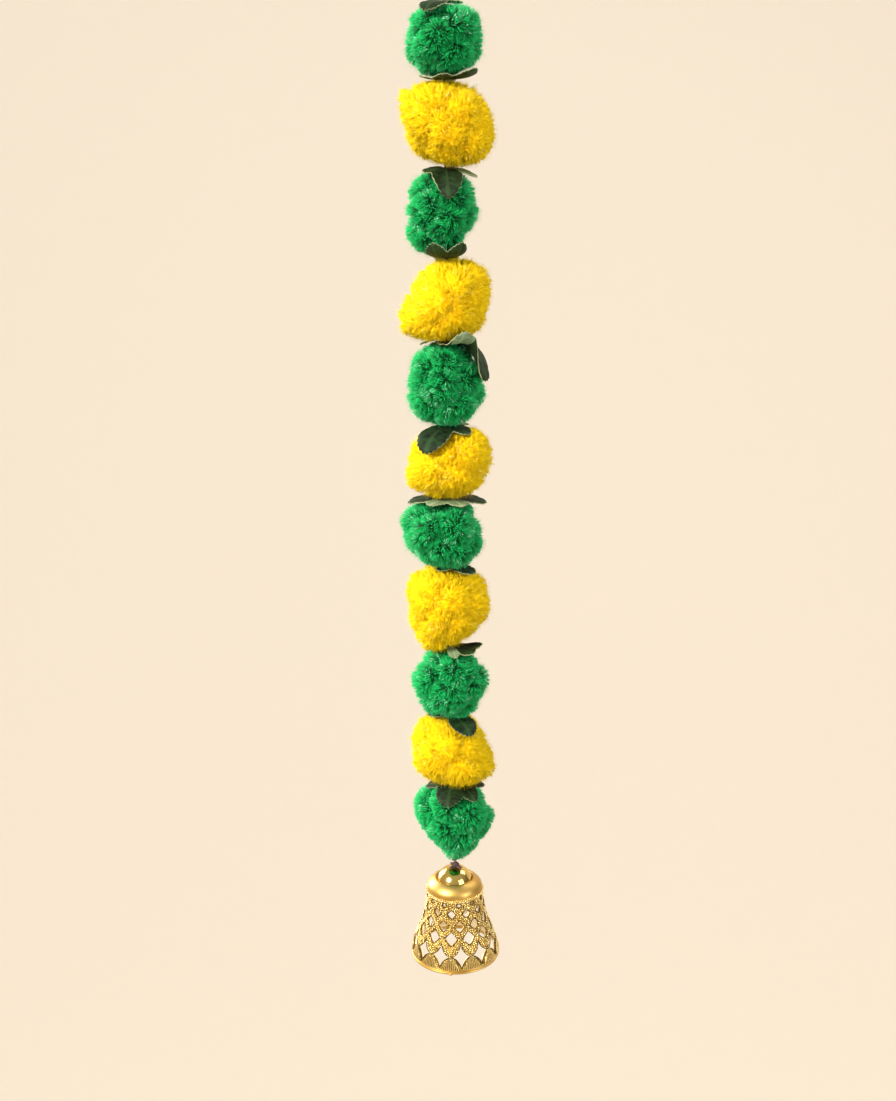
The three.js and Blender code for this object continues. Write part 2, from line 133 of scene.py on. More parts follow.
class Graph:
    """A node tree with short calls to add, set and join its nodes."""

    def __init__(self, tree: Tree) -> None:
        """Wraps a node tree."""
        self.tree = tree

    def add(self, kind: str, inputs: dict | None = None, **settings: object) -> Node:
        """Adds one node.

        Args:
            kind: The node's type name.
            inputs: Values or sockets by the name or number of the input.
            **settings: Properties of the node itself.

        Returns:
            The new node.
        """
        node = self.tree.nodes.new(kind)
        for name, value in settings.items():
            setattr(node, name, value)
        self.fill(node, inputs or {})
        return node

    def fill(self, node: Node, inputs: dict) -> None:
        """Sets or links inputs of a node by their names or numbers."""
        for key, value in inputs.items():
            self.feed(self.entry(node, key), value)

    @staticmethod
    def entry(node: Node, key: str | int) -> Socket:
        """The input of a node by its number, or the enabled one by its name."""
        named = (s for s in node.inputs if s.name == key and s.enabled)
        return node.inputs[key] if isinstance(key, int) else next(named)

    @staticmethod
    def out(node: Node) -> Socket:
        """The first enabled output of a node."""
        return next(s for s in node.outputs if s.enabled)

    def feed(self, socket: Socket, value: object) -> None:
        """Links a socket to an input, or sets the input's own value.

        Args:
            socket: The input.
            value: A socket, a node whose first output is meant, or a plain value.
        """
        if isinstance(value, Socket):
            self.tree.links.new(value, socket)
        elif isinstance(value, Node):
            self.tree.links.new(self.out(value), socket)
        else:
            socket.default_value = value

    def math(self, operation: str, *values: object) -> Socket:
        """Result of a Math node on up to three values."""
        return self.add("ShaderNodeMath", dict(enumerate(values)), operation=operation).outputs[0]

    def times(self, first: object, second: object) -> Socket:
        """Product of two numbers."""
        return self.math("MULTIPLY", first, second)

    def plus(self, first: object, second: object) -> Socket:
        """Sum of two numbers."""
        return self.math("ADD", first, second)

    def minus(self, first: object, second: object) -> Socket:
        """First number less the second."""
        return self.math("SUBTRACT", first, second)

    def vector(self, operation: str, *values: object) -> Socket:
        """Result of a Vector Math node on up to three vectors."""
        node = self.add("ShaderNodeVectorMath", dict(enumerate(values)), operation=operation)
        return node.outputs["Value"] if operation in ("LENGTH", "DOT_PRODUCT") else node.outputs[0]

    def scaled(self, direction: object, factor: object) -> Socket:
        """A vector times a number."""
        inputs = {0: direction, "Scale": factor}
        return self.add("ShaderNodeVectorMath", inputs, operation="SCALE").outputs[0]

    def blend(self, factor: object, first: object, second: object) -> Socket:
        """Mix of two colours by a factor."""
        inputs = {0: factor, 6: first, 7: second}
        return self.add("ShaderNodeMix", inputs, data_type="RGBA").outputs[2]

    def span(self, value: object, low: float, high: float, start: float = 0.0, end: float = 1.0) -> Socket:
        """Value mapped smoothly from low..high to start..end."""
        inputs = {"Value": value, "From Min": low, "From Max": high, "To Min": start, "To Max": end}
        return self.add("ShaderNodeMapRange", inputs, interpolation_type="SMOOTHSTEP").outputs[0]

    def bump(self, height: object, strength: float, depth: float) -> Socket:
        """Normals of a relief with a depth in metres."""
        inputs = {"Height": height, "Strength": strength, "Distance": depth}
        return self.add("ShaderNodeBump", inputs).outputs[0]

    def grain(self, scale: float, stretch: tuple = (1.0, 1.0, 1.0)) -> bpy.types.NodeOutputs:
        """Outputs of the fine grain group at a scale."""
        inputs = {"Scale": scale, "Stretch": stretch}
        return self.add("ShaderNodeGroup", inputs, node_tree=bpy.data.node_groups[FINE_GRAIN]).outputs

    def named(self, name: str, kind: str) -> Socket:
        """A named attribute in a Geometry Nodes tree."""
        return self.out(self.add("GeometryNodeInputNamedAttribute", {"Name": name}, data_type=kind))

    def stored(self, geometry: object, name: str, value: object, kind: str, domain: str) -> Socket:
        """The geometry with a value stored on it as a named attribute."""
        inputs = {"Geometry": geometry, "Name": name, "Value": value}
        return self.add("GeometryNodeStoreNamedAttribute", inputs, data_type=kind, domain=domain).outputs[0]


class Kind(Enum):
    """Socket types of a group's named inputs and outputs."""

    NUMBER = "NodeSocketFloat"
    VECTOR = "NodeSocketVector"
    COLOUR = "NodeSocketColor"
    WHOLE = "NodeSocketInt"
    MESH = "NodeSocketGeometry"
    OBJECT = "NodeSocketObject"
    MATERIAL = "NodeSocketMaterial"


def new_group(
    name: str, family: str, inputs: dict[str, Kind], outputs: dict[str, Kind]
) -> tuple[Graph, Node, Node]:
    """Makes an empty node group with named sockets.

    Args:
        name: Name of the group.
        family: "GeometryNodeTree" or "ShaderNodeTree".
        inputs: Kind of each input by its name.
        outputs: Kind of each output by its name.

    Returns:
        The graph with its input node and its output node.
    """
    tree = bpy.data.node_groups.new(name, family)
    for label, kind in inputs.items():
        tree.interface.new_socket(label, in_out="INPUT", socket_type=kind.value)
    for label, kind in outputs.items():
        tree.interface.new_socket(label, in_out="OUTPUT", socket_type=kind.value)
    graph = Graph(tree)
    return graph, graph.add("NodeGroupInput"), graph.add("NodeGroupOutput")


def grown(base: Thing, tree: Tree, values: dict[str, object]) -> Thing:
    """Runs a Geometry Nodes tree on an object and keeps the result as its plain mesh.

    Args:
        base: Object that carries the tree's input mesh.
        tree: The Geometry Nodes tree.
        values: Value of each named input.

    Returns:
        The same object, with the tree's result as its mesh and no modifier.
    """
    modifier = base.modifiers.new("grown", "NODES")
    modifier.node_group = tree
    for item in tree.interface.items_tree:
        if item.item_type == "SOCKET" and item.in_out == "INPUT" and item.name in values:
            modifier[item.identifier] = values[item.name]
    base.update_tag()
    depsgraph = bpy.context.evaluated_depsgraph_get()
    mesh = bpy.data.meshes.new_from_object(base.evaluated_get(depsgraph))
    base.modifiers.remove(modifier)
    old = base.data
    base.data = mesh
    bpy.data.meshes.remove(old)
    mesh.name = base.name
    return base


def linked(name: str, data: bpy.types.ID) -> Thing:
    """Object of a mesh, a light or a camera at the origin, linked to the scene.

    Args:
        name: Name of the object.
        data: What it shows.

    Returns:
        The object.
    """
    thing = bpy.data.objects.new(name, data)
    bpy.context.scene.collection.objects.link(thing)
    return thing


def placed(name: str, mesh: Mesh, materials: Sequence[Material] = ()) -> Thing:
    """Object of a mesh at the origin, dressed and linked to the scene.

    Args:
        name: Name of the object.
        mesh: Its mesh, whose places are already right.
        materials: Materials that the faces number from 0.

    Returns:
        The object.
    """
    for material in materials:
        mesh.materials.append(material)
    return linked(name, mesh)


def gathered(meshes: Iterable[Mesh]) -> BMesh:
    """Working mesh that holds copies of several meshes.

    Args:
        meshes: The meshes.

    Returns:
        The working mesh.
    """
    work = bmesh.new()
    for mesh in meshes:
        work.from_mesh(mesh)
    return work


def put_back(work: BMesh, mesh: Mesh) -> None:
    """Writes a working mesh to a mesh and frees it."""
    work.to_mesh(mesh)
    work.free()


def worked(name: str, work: BMesh, materials: Sequence[Material] = ()) -> Thing:
    """Object that takes over a working mesh.

    Args:
        name: Name of the object and its mesh.
        work: The working mesh, which is freed.
        materials: Materials that the faces number from 0.

    Returns:
        The object.
    """
    mesh = bpy.data.meshes.new(name)
    put_back(work, mesh)
    return placed(name, mesh, materials)


def shade_smooth(mesh: Mesh) -> None:
    """Shades all faces of a mesh smooth."""
    mesh.polygons.foreach_set("use_smooth", [True] * len(mesh.polygons))


def meshed(
    name: str, points: Array, faces: Sequence[Sequence[int]], edges: Sequence[tuple[int, int]] = ()
) -> Mesh:
    """Smooth mesh from points in millimetres.

    Args:
        name: Name of the mesh.
        points: One row of x, y and z for each vertex.
        faces: Vertex numbers of each face.
        edges: Vertex numbers of each loose edge.

    Returns:
        The mesh, in metres.
    """
    mesh = bpy.data.meshes.new(name)
    mesh.from_pydata((np.asarray(points, float) * MM).tolist(), list(edges), [list(f) for f in faces])
    shade_smooth(mesh)
    mesh.update()
    return mesh


def joined(name: str, parts: Sequence[Thing]) -> Thing:
    """Joins several mesh objects of one finish into the first of them.

    Args:
        name: Name of the whole.
        parts: The objects, of which only the first is left.

    Returns:
        The whole.
    """
    whole = parts[0]
    put_back(gathered(part.data for part in parts), whole.data)
    for part in parts[1:]:
        bpy.data.objects.remove(part)
    whole.name = name
    whole.data.name = name
    return whole


def tube_mesh(name: str, path: Array, radius: float | Array, sides: int) -> Mesh:
    """Closed tube along a path, both in millimetres.

    Args:
        name: Name of the mesh.
        path: Points of the centre line, one row each.
        radius: Radius of the tube, or one for each point.
        sides: Number of sides of its section.

    Returns:
        The tube as a mesh in metres.
    """
    count = len(path)
    tangents = np.gradient(path, axis=0)
    tangents /= np.linalg.norm(tangents, axis=1)[:, None]
    normal = np.cross(tangents[0], [0.31, 0.95, 0.07])
    normal /= np.linalg.norm(normal)
    radii = np.broadcast_to(np.asarray(radius, float), (count,))
    turns = np.linspace(0, 2 * math.pi, sides, endpoint=False)
    rings = []
    for tangent, centre, size in zip(tangents, path, radii):
        normal = normal - tangent * float(normal @ tangent)
        normal /= np.linalg.norm(normal)
        side = np.cross(tangent, normal)
        rings.append(centre + size * (np.cos(turns)[:, None] * normal + np.sin(turns)[:, None] * side))
    points = np.concatenate([*rings, path[:1], path[-1:]])
    faces: list[list[int]] = []
    for k in range(count - 1):
        for s in range(sides):
            after = (s + 1) % sides
            faces.append([k * sides + s, k * sides + after, (k + 1) * sides + after, (k + 1) * sides + s])
    last = (count - 1) * sides
    for s in range(sides):
        after = (s + 1) % sides
        faces.append([count * sides, after, s])
        faces.append([count * sides + 1, last + s, last + after])
    return meshed(name, points, faces)


def lathe_mesh(name: str, profile: Sequence[Pair], segments: int, smooth_steps: int) -> Mesh:
    """Closed ring turned about the Z axis from a closed profile.

    Args:
        name: Name of the mesh.
        profile: Radius and height of each corner in millimetres, running round the section.
        segments: Number of steps round the axis.
        smooth_steps: Points for each corner, on a soft curve through the corners.

    Returns:
        The ring as a mesh in metres.
    """
    corners = np.asarray(profile, float)
    fine = []
    for k in range(len(corners)):
        a, b, c, d = (corners[(k + j) % len(corners)] for j in (-1, 0, 1, 2))
        for t in np.arange(smooth_steps) / smooth_steps:
            square, cube = (2 * a - 5 * b + 4 * c - d) * t**2, (3 * b - a - 3 * c + d) * t**3
            fine.append(0.5 * ((2 * b) + (c - a) * t + square + cube))
    section = np.array(fine)
    turns = np.linspace(0, 2 * math.pi, segments, endpoint=False)
    points = [(r * math.cos(t), r * math.sin(t), z) for t in turns for r, z in section]
    size = len(section)
    faces = []
    for k in range(segments):
        here, after = k * size, ((k + 1) % segments) * size
        for j in range(size):
            up = (j + 1) % size
            faces.append([here + j, after + j, after + up, here + up])
    mesh = meshed(name, np.array(points), faces)
    outward(mesh)
    return mesh


def outward(mesh: Mesh) -> None:
    """Turns the faces of closed shells outwards.

    Args:
        mesh: The mesh with the shells.
    """
    work = gathered([mesh])
    bmesh.ops.recalc_face_normals(work, faces=work.faces)
    put_back(work, mesh)
    mesh.update()


class Faces(Enum):
    """Colour of a leaf lobe above and below."""

    DARK_OVER_PALE = (0, 1)
    DARK = (0, 0)
    PALE = (1, 1)


class Yarn(Enum):
    """The two yarns of the strand."""

    GREEN = "green"
    YELLOW = "yellow"


@dataclass(frozen=True)
class YarnForm:
    """Outer form of one pompom, in millimetres.

    Attributes:
        yarn: Colour of the yarn.
        number: Count of this colour from the top down.
        seed: Seed of its unevenness.
        top: Height of its upper pole.
        bottom: Height of its lower pole.
        radius: Widest radius.
        skew: Widening of the upper half.
        square: Fullness of the upper half.
        foot: Fullness of the lower half.
        shift: Place of the yarn's axis beside the thread.
        part: Depth of the parting between its halves.
        part_at: Azimuth of the parting in degrees.
        sway: Sideways place of the yarn at its upper shoulder, middle and lower shoulder.
        bumps: Tufts that stand out or lie low, each by azimuth, elevation, height and spread.
    """

    SHOULDER = 0.6
    TILT_LIMIT = 1.4
    BEND_LIMIT = 1.2
    CALM_START = 0.72

    yarn: Yarn
    number: int
    seed: int
    top: float
    bottom: float
    radius: float
    skew: float
    square: float
    foot: float
    shift: Pair
    part: float
    part_at: float
    sway: Spot
    bumps: tuple[tuple[float, float, float, float], ...]

    @property
    def node(self) -> str:
        """Name of the solid that this form belongs to."""
        return f"pompom_{self.yarn.value}_{self.number}"

    @property
    def half_height(self) -> float:
        """Half the distance between the poles."""
        return (self.top - self.bottom) / 2

    @property
    def heart(self) -> Array:
        """Middle of the yarn."""
        return np.array([self.shift[0], self.shift[1], (self.top + self.bottom) / 2])

    def reach(self, directions: Array) -> Array:
        """Distance from the heart to the outer form.

        Args:
            directions: Unit vectors, one row each.

        Returns:
            One distance for each direction.
        """
        x, y, z = np.moveaxis(directions, -1, 0)
        girth = self.radius * (1 + self.skew * z)
        fullness = np.where(z > 0, self.square, self.foot)
        across = np.maximum(np.hypot(x, y), 1e-9) / girth
        along = np.maximum(np.abs(z), 1e-9) / self.half_height
        even = (across**fullness + along**fullness) ** (-1 / fullness)
        azimuth = np.arctan2(y, x)
        waves = np.sin(3 * azimuth + self.seed * 1.7) + 0.7 * np.sin(2 * azimuth + 5 * z + self.seed * 2.9)
        off = turn_between(np.degrees(azimuth), self.part_at) / PARTING_WIDTH
        girdle = 1 - z * z
        uneven = even * (1 + LUMP * girdle * waves - self.part * np.exp(-off * off) * girdle)
        return np.minimum(uneven, self.half_height / np.maximum(np.abs(z), 0.01))

    def ruffled(self, directions: Array) -> Array:
        """Height of the standing tufts above the even form in each direction.

        Args:
            directions: Unit vectors, one row each.

        Returns:
            One height for each direction.
        """
        height = np.zeros(len(directions))
        for azimuth, elevation, rise, spread in self.bumps:
            flat, up = math.cos(math.radians(elevation)), math.sin(math.radians(elevation))
            turn = math.radians(azimuth)
            middle = np.array([flat * math.cos(turn), flat * math.sin(turn), up])
            angle = np.degrees(np.arccos(np.clip(directions @ middle, -1, 1)))
            height += rise * np.exp(-((angle / spread) ** 2))
        return height

    def creased(self, directions: Array, clumps: int, depth: float, width: float) -> Array:
        """Depth of the dark creases between the clumps that the yarn falls into.

        Args:
            directions: Unit vectors, one row each.
            clumps: Number of clumps.
            depth: Depth of a crease in its middle.
            width: Width of a crease in degrees.

        Returns:
            One depth for each direction.
        """
        draw = np.random.default_rng(self.seed * 11)
        k = np.arange(clumps)
        up = 1 - (2 * k + 1) / clumps
        turn = k * math.pi * (3 - math.sqrt(5)) + self.seed
        flat = np.sqrt(1 - up * up)
        seeds = np.stack([flat * np.cos(turn), flat * np.sin(turn), up], axis=1)
        seeds += draw.uniform(-0.24, 0.24, seeds.shape)
        seeds /= np.linalg.norm(seeds, axis=1)[:, None]
        angles = np.sort(np.degrees(np.arccos(np.clip(directions @ seeds.T, -1, 1))), axis=1)
        return depth * np.exp(-(((angles[:, 1] - angles[:, 0]) / width) ** 2))

    def swayed(self, points: Array) -> Array:
        """Points moved sideways with the yarn's sway, by their height.

        Args:
            points: Points in millimetres, one row each.

        Returns:
            The moved points.
        """
        height = (points[:, 2] - self.heart[2]) / self.half_height
        heights = (points[:, 2] - self.heart[2]) / (self.SHOULDER * self.half_height)
        upper, middle, lower = self.sway
        bend = (upper + lower) / 2 - middle
        tilted = (upper - lower) / 2 * np.clip(heights, -self.TILT_LIMIT, self.TILT_LIMIT)
        aside = middle + tilted + bend * np.clip(heights, -self.BEND_LIMIT, self.BEND_LIMIT) ** 2
        calm = 1 - smooth_step(self.CALM_START, 1.0, np.abs(height))
        moved = points.copy()
        moved[:, 0] += aside * calm
        return moved

    def outside(self, directions: Array, room: Array) -> Array:
        """Points a little outside the form, seen from the thread at the form's height.

        Args:
            directions: Unit vectors from the thread, in the last axis.
            room: Distance outside the form for each direction.

        Returns:
            The points, in the last axis.
        """
        start = np.array([0.0, 0.0, self.heart[2]])
        distance = np.full(directions.shape[:-1], self.radius)
        for _ in range(12):
            offset = start + directions * distance[..., None] - self.heart
            length = np.linalg.norm(offset, axis=-1)
            distance = distance + self.reach(offset / length[..., None]) - length
        return start + directions * (distance + room)[..., None]

    def above_its_top(self) -> YarnForm:
        """The same form one place higher, as a stand-in for a neighbour above."""
        lift = 2 * SEAT_ROOM
        return replace(self, top=self.top + (self.top - self.bottom) + lift, bottom=self.top + lift)


# Radius, skew, fullness, foot, shift, parting, its azimuth and sway of each pompom from the top
# down, and then its bumps
FORM_ROWS = (
    (
        (20.6, 0.02, 3.1, 3.0, (0.2, 0.4), 0.0, 0.0, (0.9, -0.5, -1.6)),
        ((180, 25, 0.8, 24), (-60, 30, 1.0, 20), (-150, -50, -1.5, 22)),
    ),
    (
        (24.0, -0.06, 3.0, 2.6, (1.3, -0.5), 0.0, 0.0, (-2.6, 0.3, 2.2)),
        ((180, 38, 2.2, 18), (0, -14, 1.2, 24), (8, 40, 1.6, 10), (-90, -40, 1.0, 24), (-150, -50, -2.6, 24)),
    ),
    (
        (19.9, 0.03, 2.4, 2.6, (-1.4, 0.6), 0.1, -95.0, (0.4, -0.3, -2.2)),
        (
            (0, -46, -3.6, 24), (180, 20, 1.0, 24), (-150, -25, 1.4, 20),
            (-86, 20, -2.4, 12), (-150, 50, 1.4, 18),
        ),
    ),
    (
        (23.9, -0.12, 2.5, 3.0, (-0.6, -0.8), 0.0, 0.0, (3.0, 0.9, -2.0)),
        ((182, -30, 2.8, 17), (0, 30, 1.0, 22), (-70, 20, 1.0, 20), (180, 40, -1.6, 22)),
    ),
    (
        (21.2, -0.03, 2.7, 2.6, (-1.1, 0.3), 0.07, -115.0, (-0.6, -0.2, -0.8)),
        (
            (180, -12, 1.4, 22), (4, -20, 1.2, 22), (-110, 40, 1.8, 18),
            (-112, -36, -4.0, 11), (-56, 30, -2.4, 12),
        ),
    ),
    (
        (24.0, 0.02, 2.6, 2.5, (0.4, 0.7), 0.0, 0.0, (1.6, -0.2, -2.2)),
        ((0, 12, 1.0, 22), (190, -14, 1.0, 20), (-150, 42, -3.2, 26), (-40, 50, 2.0, 18)),
    ),
    (
        (22.5, 0.0, 2.8, 2.8, (-2.4, -0.6), 0.1, -82.0, (-1.8, -2.4, 0.6)),
        ((180, 14, 1.6, 20), (0, -12, 1.4, 20), (-60, 30, 1.0, 16), (-78, -30, -3.4, 12)),
    ),
    (
        (24.3, 0.02, 2.7, 2.4, (-1.1, 0.5), 0.0, 0.0, (-2.2, -0.9, -1.5)),
        ((215, -60, 4.2, 15), (0, 8, 1.8, 16), (175, 30, 0.8, 18), (-20, -46, -3.6, 24)),
    ),
    (
        (21.6, 0.0, 2.4, 2.6, (-0.7, -0.4), 0.04, 70.0, (-0.5, -0.5, -0.6)),
        ((180, 0, 0.8, 24), (0, 8, 1.6, 16), (-80, 0, 1.2, 20)),
    ),
    (
        (24.2, -0.09, 2.8, 2.7, (-0.2, 0.6), 0.0, 0.0, (-2.8, -1.2, 2.4)),
        ((168, 60, 3.6, 13), (4, -30, 2.4, 15), (-80, 36, 1.2, 16), (180, 20, -1.4, 18)),
    ),
    (
        (22.8, 0.08, 2.4, 1.7, (0.4, -0.3), 0.06, -75.0, (-2.4, 0.2, 0.9)),
        ((0, 12, 1.6, 20), (180, 36, 1.0, 18), (180, -40, -1.2, 22)),
    ),
)


def yarn_forms() -> list[YarnForm]:
    """Sets the form of every pompom between its two seats.

    Returns:
        The forms from the top of the strand down.
    """
    feet = [*(seat + SEAT_ROOM for seat in SEATS[1:]), STRAND_FOOT]
    forms = []
    for index, (sizes, bumps) in enumerate(FORM_ROWS):
        yarn = Yarn.GREEN if index % 2 == 0 else Yarn.YELLOW
        number, seed = index // 2 + 1, index + 1
        top = SEATS[index] - SEAT_ROOM
        forms.append(YarnForm(yarn, number, seed, top, feet[index], *sizes, bumps))
    return forms


@dataclass(frozen=True)
class Lobe:
    """One lobe of a leaf piece.

    Attributes:
        at: Azimuth in degrees, -90 at the front.
        reach: Length from the thread in millimetres.
        spread: Half its angle in degrees.
        root: Where its root lies, -1 on the pompom below and 1 under the one above.
        tip: Where its tip lies.
        faces: Colours of its two faces.
    """

    at: float
    reach: float
    spread: float
    root: float
    tip: float
    faces: Faces = Faces.DARK_OVER_PALE


DARK = Faces.DARK
PALE = Faces.PALE

# Lobes of each leaf piece from the top down
LEAVES = (
    (Lobe(-116, 18, 50, -1, -1, DARK), Lobe(56, 13, 50, -1, -0.6, DARK)),
    (
        Lobe(-32, 18, 60, 0.6, 0.85, DARK),
        Lobe(-92, 15, 50, 0.6, 0.9, DARK),
        Lobe(-150, 13, 54, 0.7, 1, DARK),
        Lobe(90, 17, 50, -1, -1),
    ),
    (
        Lobe(-86, 27, 50, -1, -1, DARK),
        Lobe(-132, 16, 46, -0.7, -0.2, DARK),
        Lobe(-30, 20, 30, -0.9, -0.3, PALE),
        Lobe(108, 18, 50, -1, -1),
    ),
    (
        Lobe(-114, 21, 46, 0.5, 1, DARK),
        Lobe(-64, 21, 46, 0.5, 1, DARK),
        Lobe(90, 18, 56, -1, -1),
    ),
    (
        Lobe(-70, 23, 34, 0.2, 1, PALE),
        Lobe(-27, 34, 38, -1, -1, DARK),
        Lobe(-98, 13, 36, -0.2, 0.4, DARK),
        Lobe(144, 16, 56, -1, -1),
    ),
    (
        Lobe(-122, 25, 54, -0.95, -0.9, DARK),
        Lobe(-50, 15, 50, -1, -1, DARK),
        Lobe(72, 19, 54, -1, -1),
    ),
    (
        Lobe(184, 21, 50, -0.5, -0.4, DARK),
        Lobe(-126, 17, 50, -0.4, -0.3, PALE),
        Lobe(-68, 17, 50, -0.3, -0.2, PALE),
        Lobe(-8, 21, 52, -0.1, -0.2, DARK),
        Lobe(90, 14, 44, -0.8, -0.9),
    ),
    (
        Lobe(-36, 16, 50, -0.7, -0.6, DARK),
        Lobe(-130, 10, 50, -0.6, -0.5, DARK),
        Lobe(72, 20, 54, -1, -1),
    ),
    (
        Lobe(-24, 20, 34, -0.3, 0.9, DARK),
        Lobe(-44, 19, 40, -0.9, -0.4, DARK),
        Lobe(-82, 15, 34, -0.9, -0.7, PALE),
        Lobe(180, 13, 44, -1, -1),
        Lobe(90, 18, 44, -1, -1),
    ),
    (
        Lobe(-60, 20, 56, -1, -0.9, DARK),
        Lobe(162, 14, 54, -1, -1, DARK),
        Lobe(54, 16, 46, -1, -0.8),
    ),
    (
        Lobe(-100, 21, 62, -1, -1, DARK),
        Lobe(-50, 20, 46, -1, -1, DARK),
        Lobe(180, 16, 50, -0.9, -0.9, DARK),
        Lobe(0, 18, 50, -0.9, -0.6, DARK),
        Lobe(90, 18, 54, -1, -1),
    ),
)


# Leaf pieces that are cut otherwise than the rest: blunter lobes that part sharply
LEAF_CUTS = {5: {"turn_width": 15.0, "fullness": 2.4}}


def yarn_shade_group() -> Tree:
    """Shader group that colours cut yarn from its root to its tip by the fibres' own map, with painted shade
    at the roots and on the core, lighter tips and pale flecks as painted highlights.

    Returns:
        The group.
    """
    wanted = {name: Kind.COLOUR for name in ("Deep", "Body", "Tip", "Pale")}
    graph, entry, exit_node = new_group(
        YARN_SHADE, "ShaderNodeTree", {**wanted, "Pale Share": Kind.NUMBER}, {"Color": Kind.COLOUR}
    )
    place = graph.add("ShaderNodeUVMap", uv_map=YARN_MAP)
    split = graph.add("ShaderNodeSeparateXYZ", {0: place.outputs[0]})
    tone, along = split.outputs[0], split.outputs[1]
    # Painted shade: the roots and the core take the dark root colour, blending through the body colour to the
    # lighter tip colour
    root_shade_blend = graph.blend(graph.span(along, 0.12, 0.62), entry.outputs["Deep"], entry.outputs["Body"])
    depth_shade_blend = graph.blend(graph.span(along, 0.62, 1.0), root_shade_blend, entry.outputs["Tip"])
    ripple = graph.math("SINE", graph.times(tone, TONE_RIPPLE))
    dusk = graph.span(ripple, -1.0, 1.0, 0.92, 1.05)
    toned = graph.scaled(depth_shade_blend, dusk)
    # Painted highlights: a random share of the fibres turn pale towards their ends
    edge = graph.minus(1.0, entry.outputs["Pale Share"])
    near = graph.math("GREATER_THAN", tone, edge)
    lit = graph.times(near, graph.span(along, 0.35, 0.85, 0.0, 0.85))
    graph.feed(exit_node.inputs["Color"], graph.blend(lit, toned, entry.outputs["Pale"]))
    return graph.tree


def fine_grain_group() -> Tree:
    """Shader group with a small-scale unevenness: a mask and a height to bump with.

    Returns:
        The group.
    """
    graph, entry, exit_node = new_group(
        FINE_GRAIN,
        "ShaderNodeTree",
        {"Scale": Kind.NUMBER, "Stretch": Kind.VECTOR},
        {"Mask": Kind.NUMBER, "Height": Kind.NUMBER},
    )
    place = graph.add("ShaderNodeTexCoord")
    drawn = graph.vector("MULTIPLY", place.outputs["Object"], entry.outputs["Stretch"])
    coarse = graph.add(
        "ShaderNodeTexNoise", {"Vector": drawn, "Scale": entry.outputs["Scale"], "Detail": 4.0}
    )
    cells = graph.add(
        "ShaderNodeTexVoronoi",
        {"Vector": drawn, "Scale": graph.times(entry.outputs["Scale"], 3.0)},
    )
    graph.feed(exit_node.inputs["Mask"], graph.span(coarse.outputs[0], 0.3, 0.7))
    graph.feed(exit_node.inputs["Height"], graph.minus(1.0, cells.outputs["Distance"]))
    return graph.tree


@dataclass(frozen=True)
class Finish:
    """A finish on one Principled shader. Each kind of finish states the shader's inputs."""

    name: str

    def material(self) -> Material:
        """Builds the material.

        Returns:
            The material, named as the finish.
        """
        material = bpy.data.materials.new(self.name)
        material.use_nodes = True
        graph = Graph(material.node_tree)
        graph.fill(graph.tree.nodes["Principled BSDF"], self.looks(graph))
        return material

    def looks(self, graph: Graph) -> dict[str, object]:
        """Values and sockets for the shader's inputs by their names."""
        raise NotImplementedError


@dataclass(frozen=True)
class PlainFinish(Finish):
    """One even, dull colour, as a hex code."""

    colour: str
    roughness: float = 0.95

    def looks(self, graph: Graph) -> dict[str, object]:
        """Values for the shader's inputs."""
        return {"Base Color": srgb(self.colour), "Roughness": self.roughness, "Specular IOR Level": 0.1}


@dataclass(frozen=True)
class YarnFinish(Finish):
    """Colours of one cut yarn, as hex codes from its root to its tip: the root colour is painted shade, and
    the lighter tip and the pale flecks are painted light.
    """

    # Colour of the roots and the core: painted shade deep in the yarn
    painted_root_shade: str
    body: str
    # Lighter colour of the fibre ends: painted light
    tip: str
    # Colour of the pale flecks near the fibre ends: painted highlights
    pale: str
    painted_highlight_share: float
    glow: str
    roughness: float = 0.85
    sheen: float = 0.7

    def looks(self, graph: Graph) -> dict[str, object]:
        """Paints shade and highlights on the yarn along its fibres, with the sheen of brushed ends.

        Args:
            graph: The material's nodes.

        Returns:
            Values and sockets for the shader's inputs.
        """
        codes = {"Deep": self.painted_root_shade, "Body": self.body, "Tip": self.tip, "Pale": self.pale}
        inputs = {label: srgb(code) for label, code in codes.items()}
        inputs["Pale Share"] = self.painted_highlight_share
        shade = graph.add("ShaderNodeGroup", inputs, node_tree=bpy.data.node_groups[YARN_SHADE])
        return {
            "Base Color": shade.outputs["Color"],
            "Roughness": self.roughness,
            "Sheen Weight": self.sheen,
            "Sheen Roughness": 0.5,
            "Sheen Tint": srgb(self.glow),
            "Specular IOR Level": 0.1,
        }


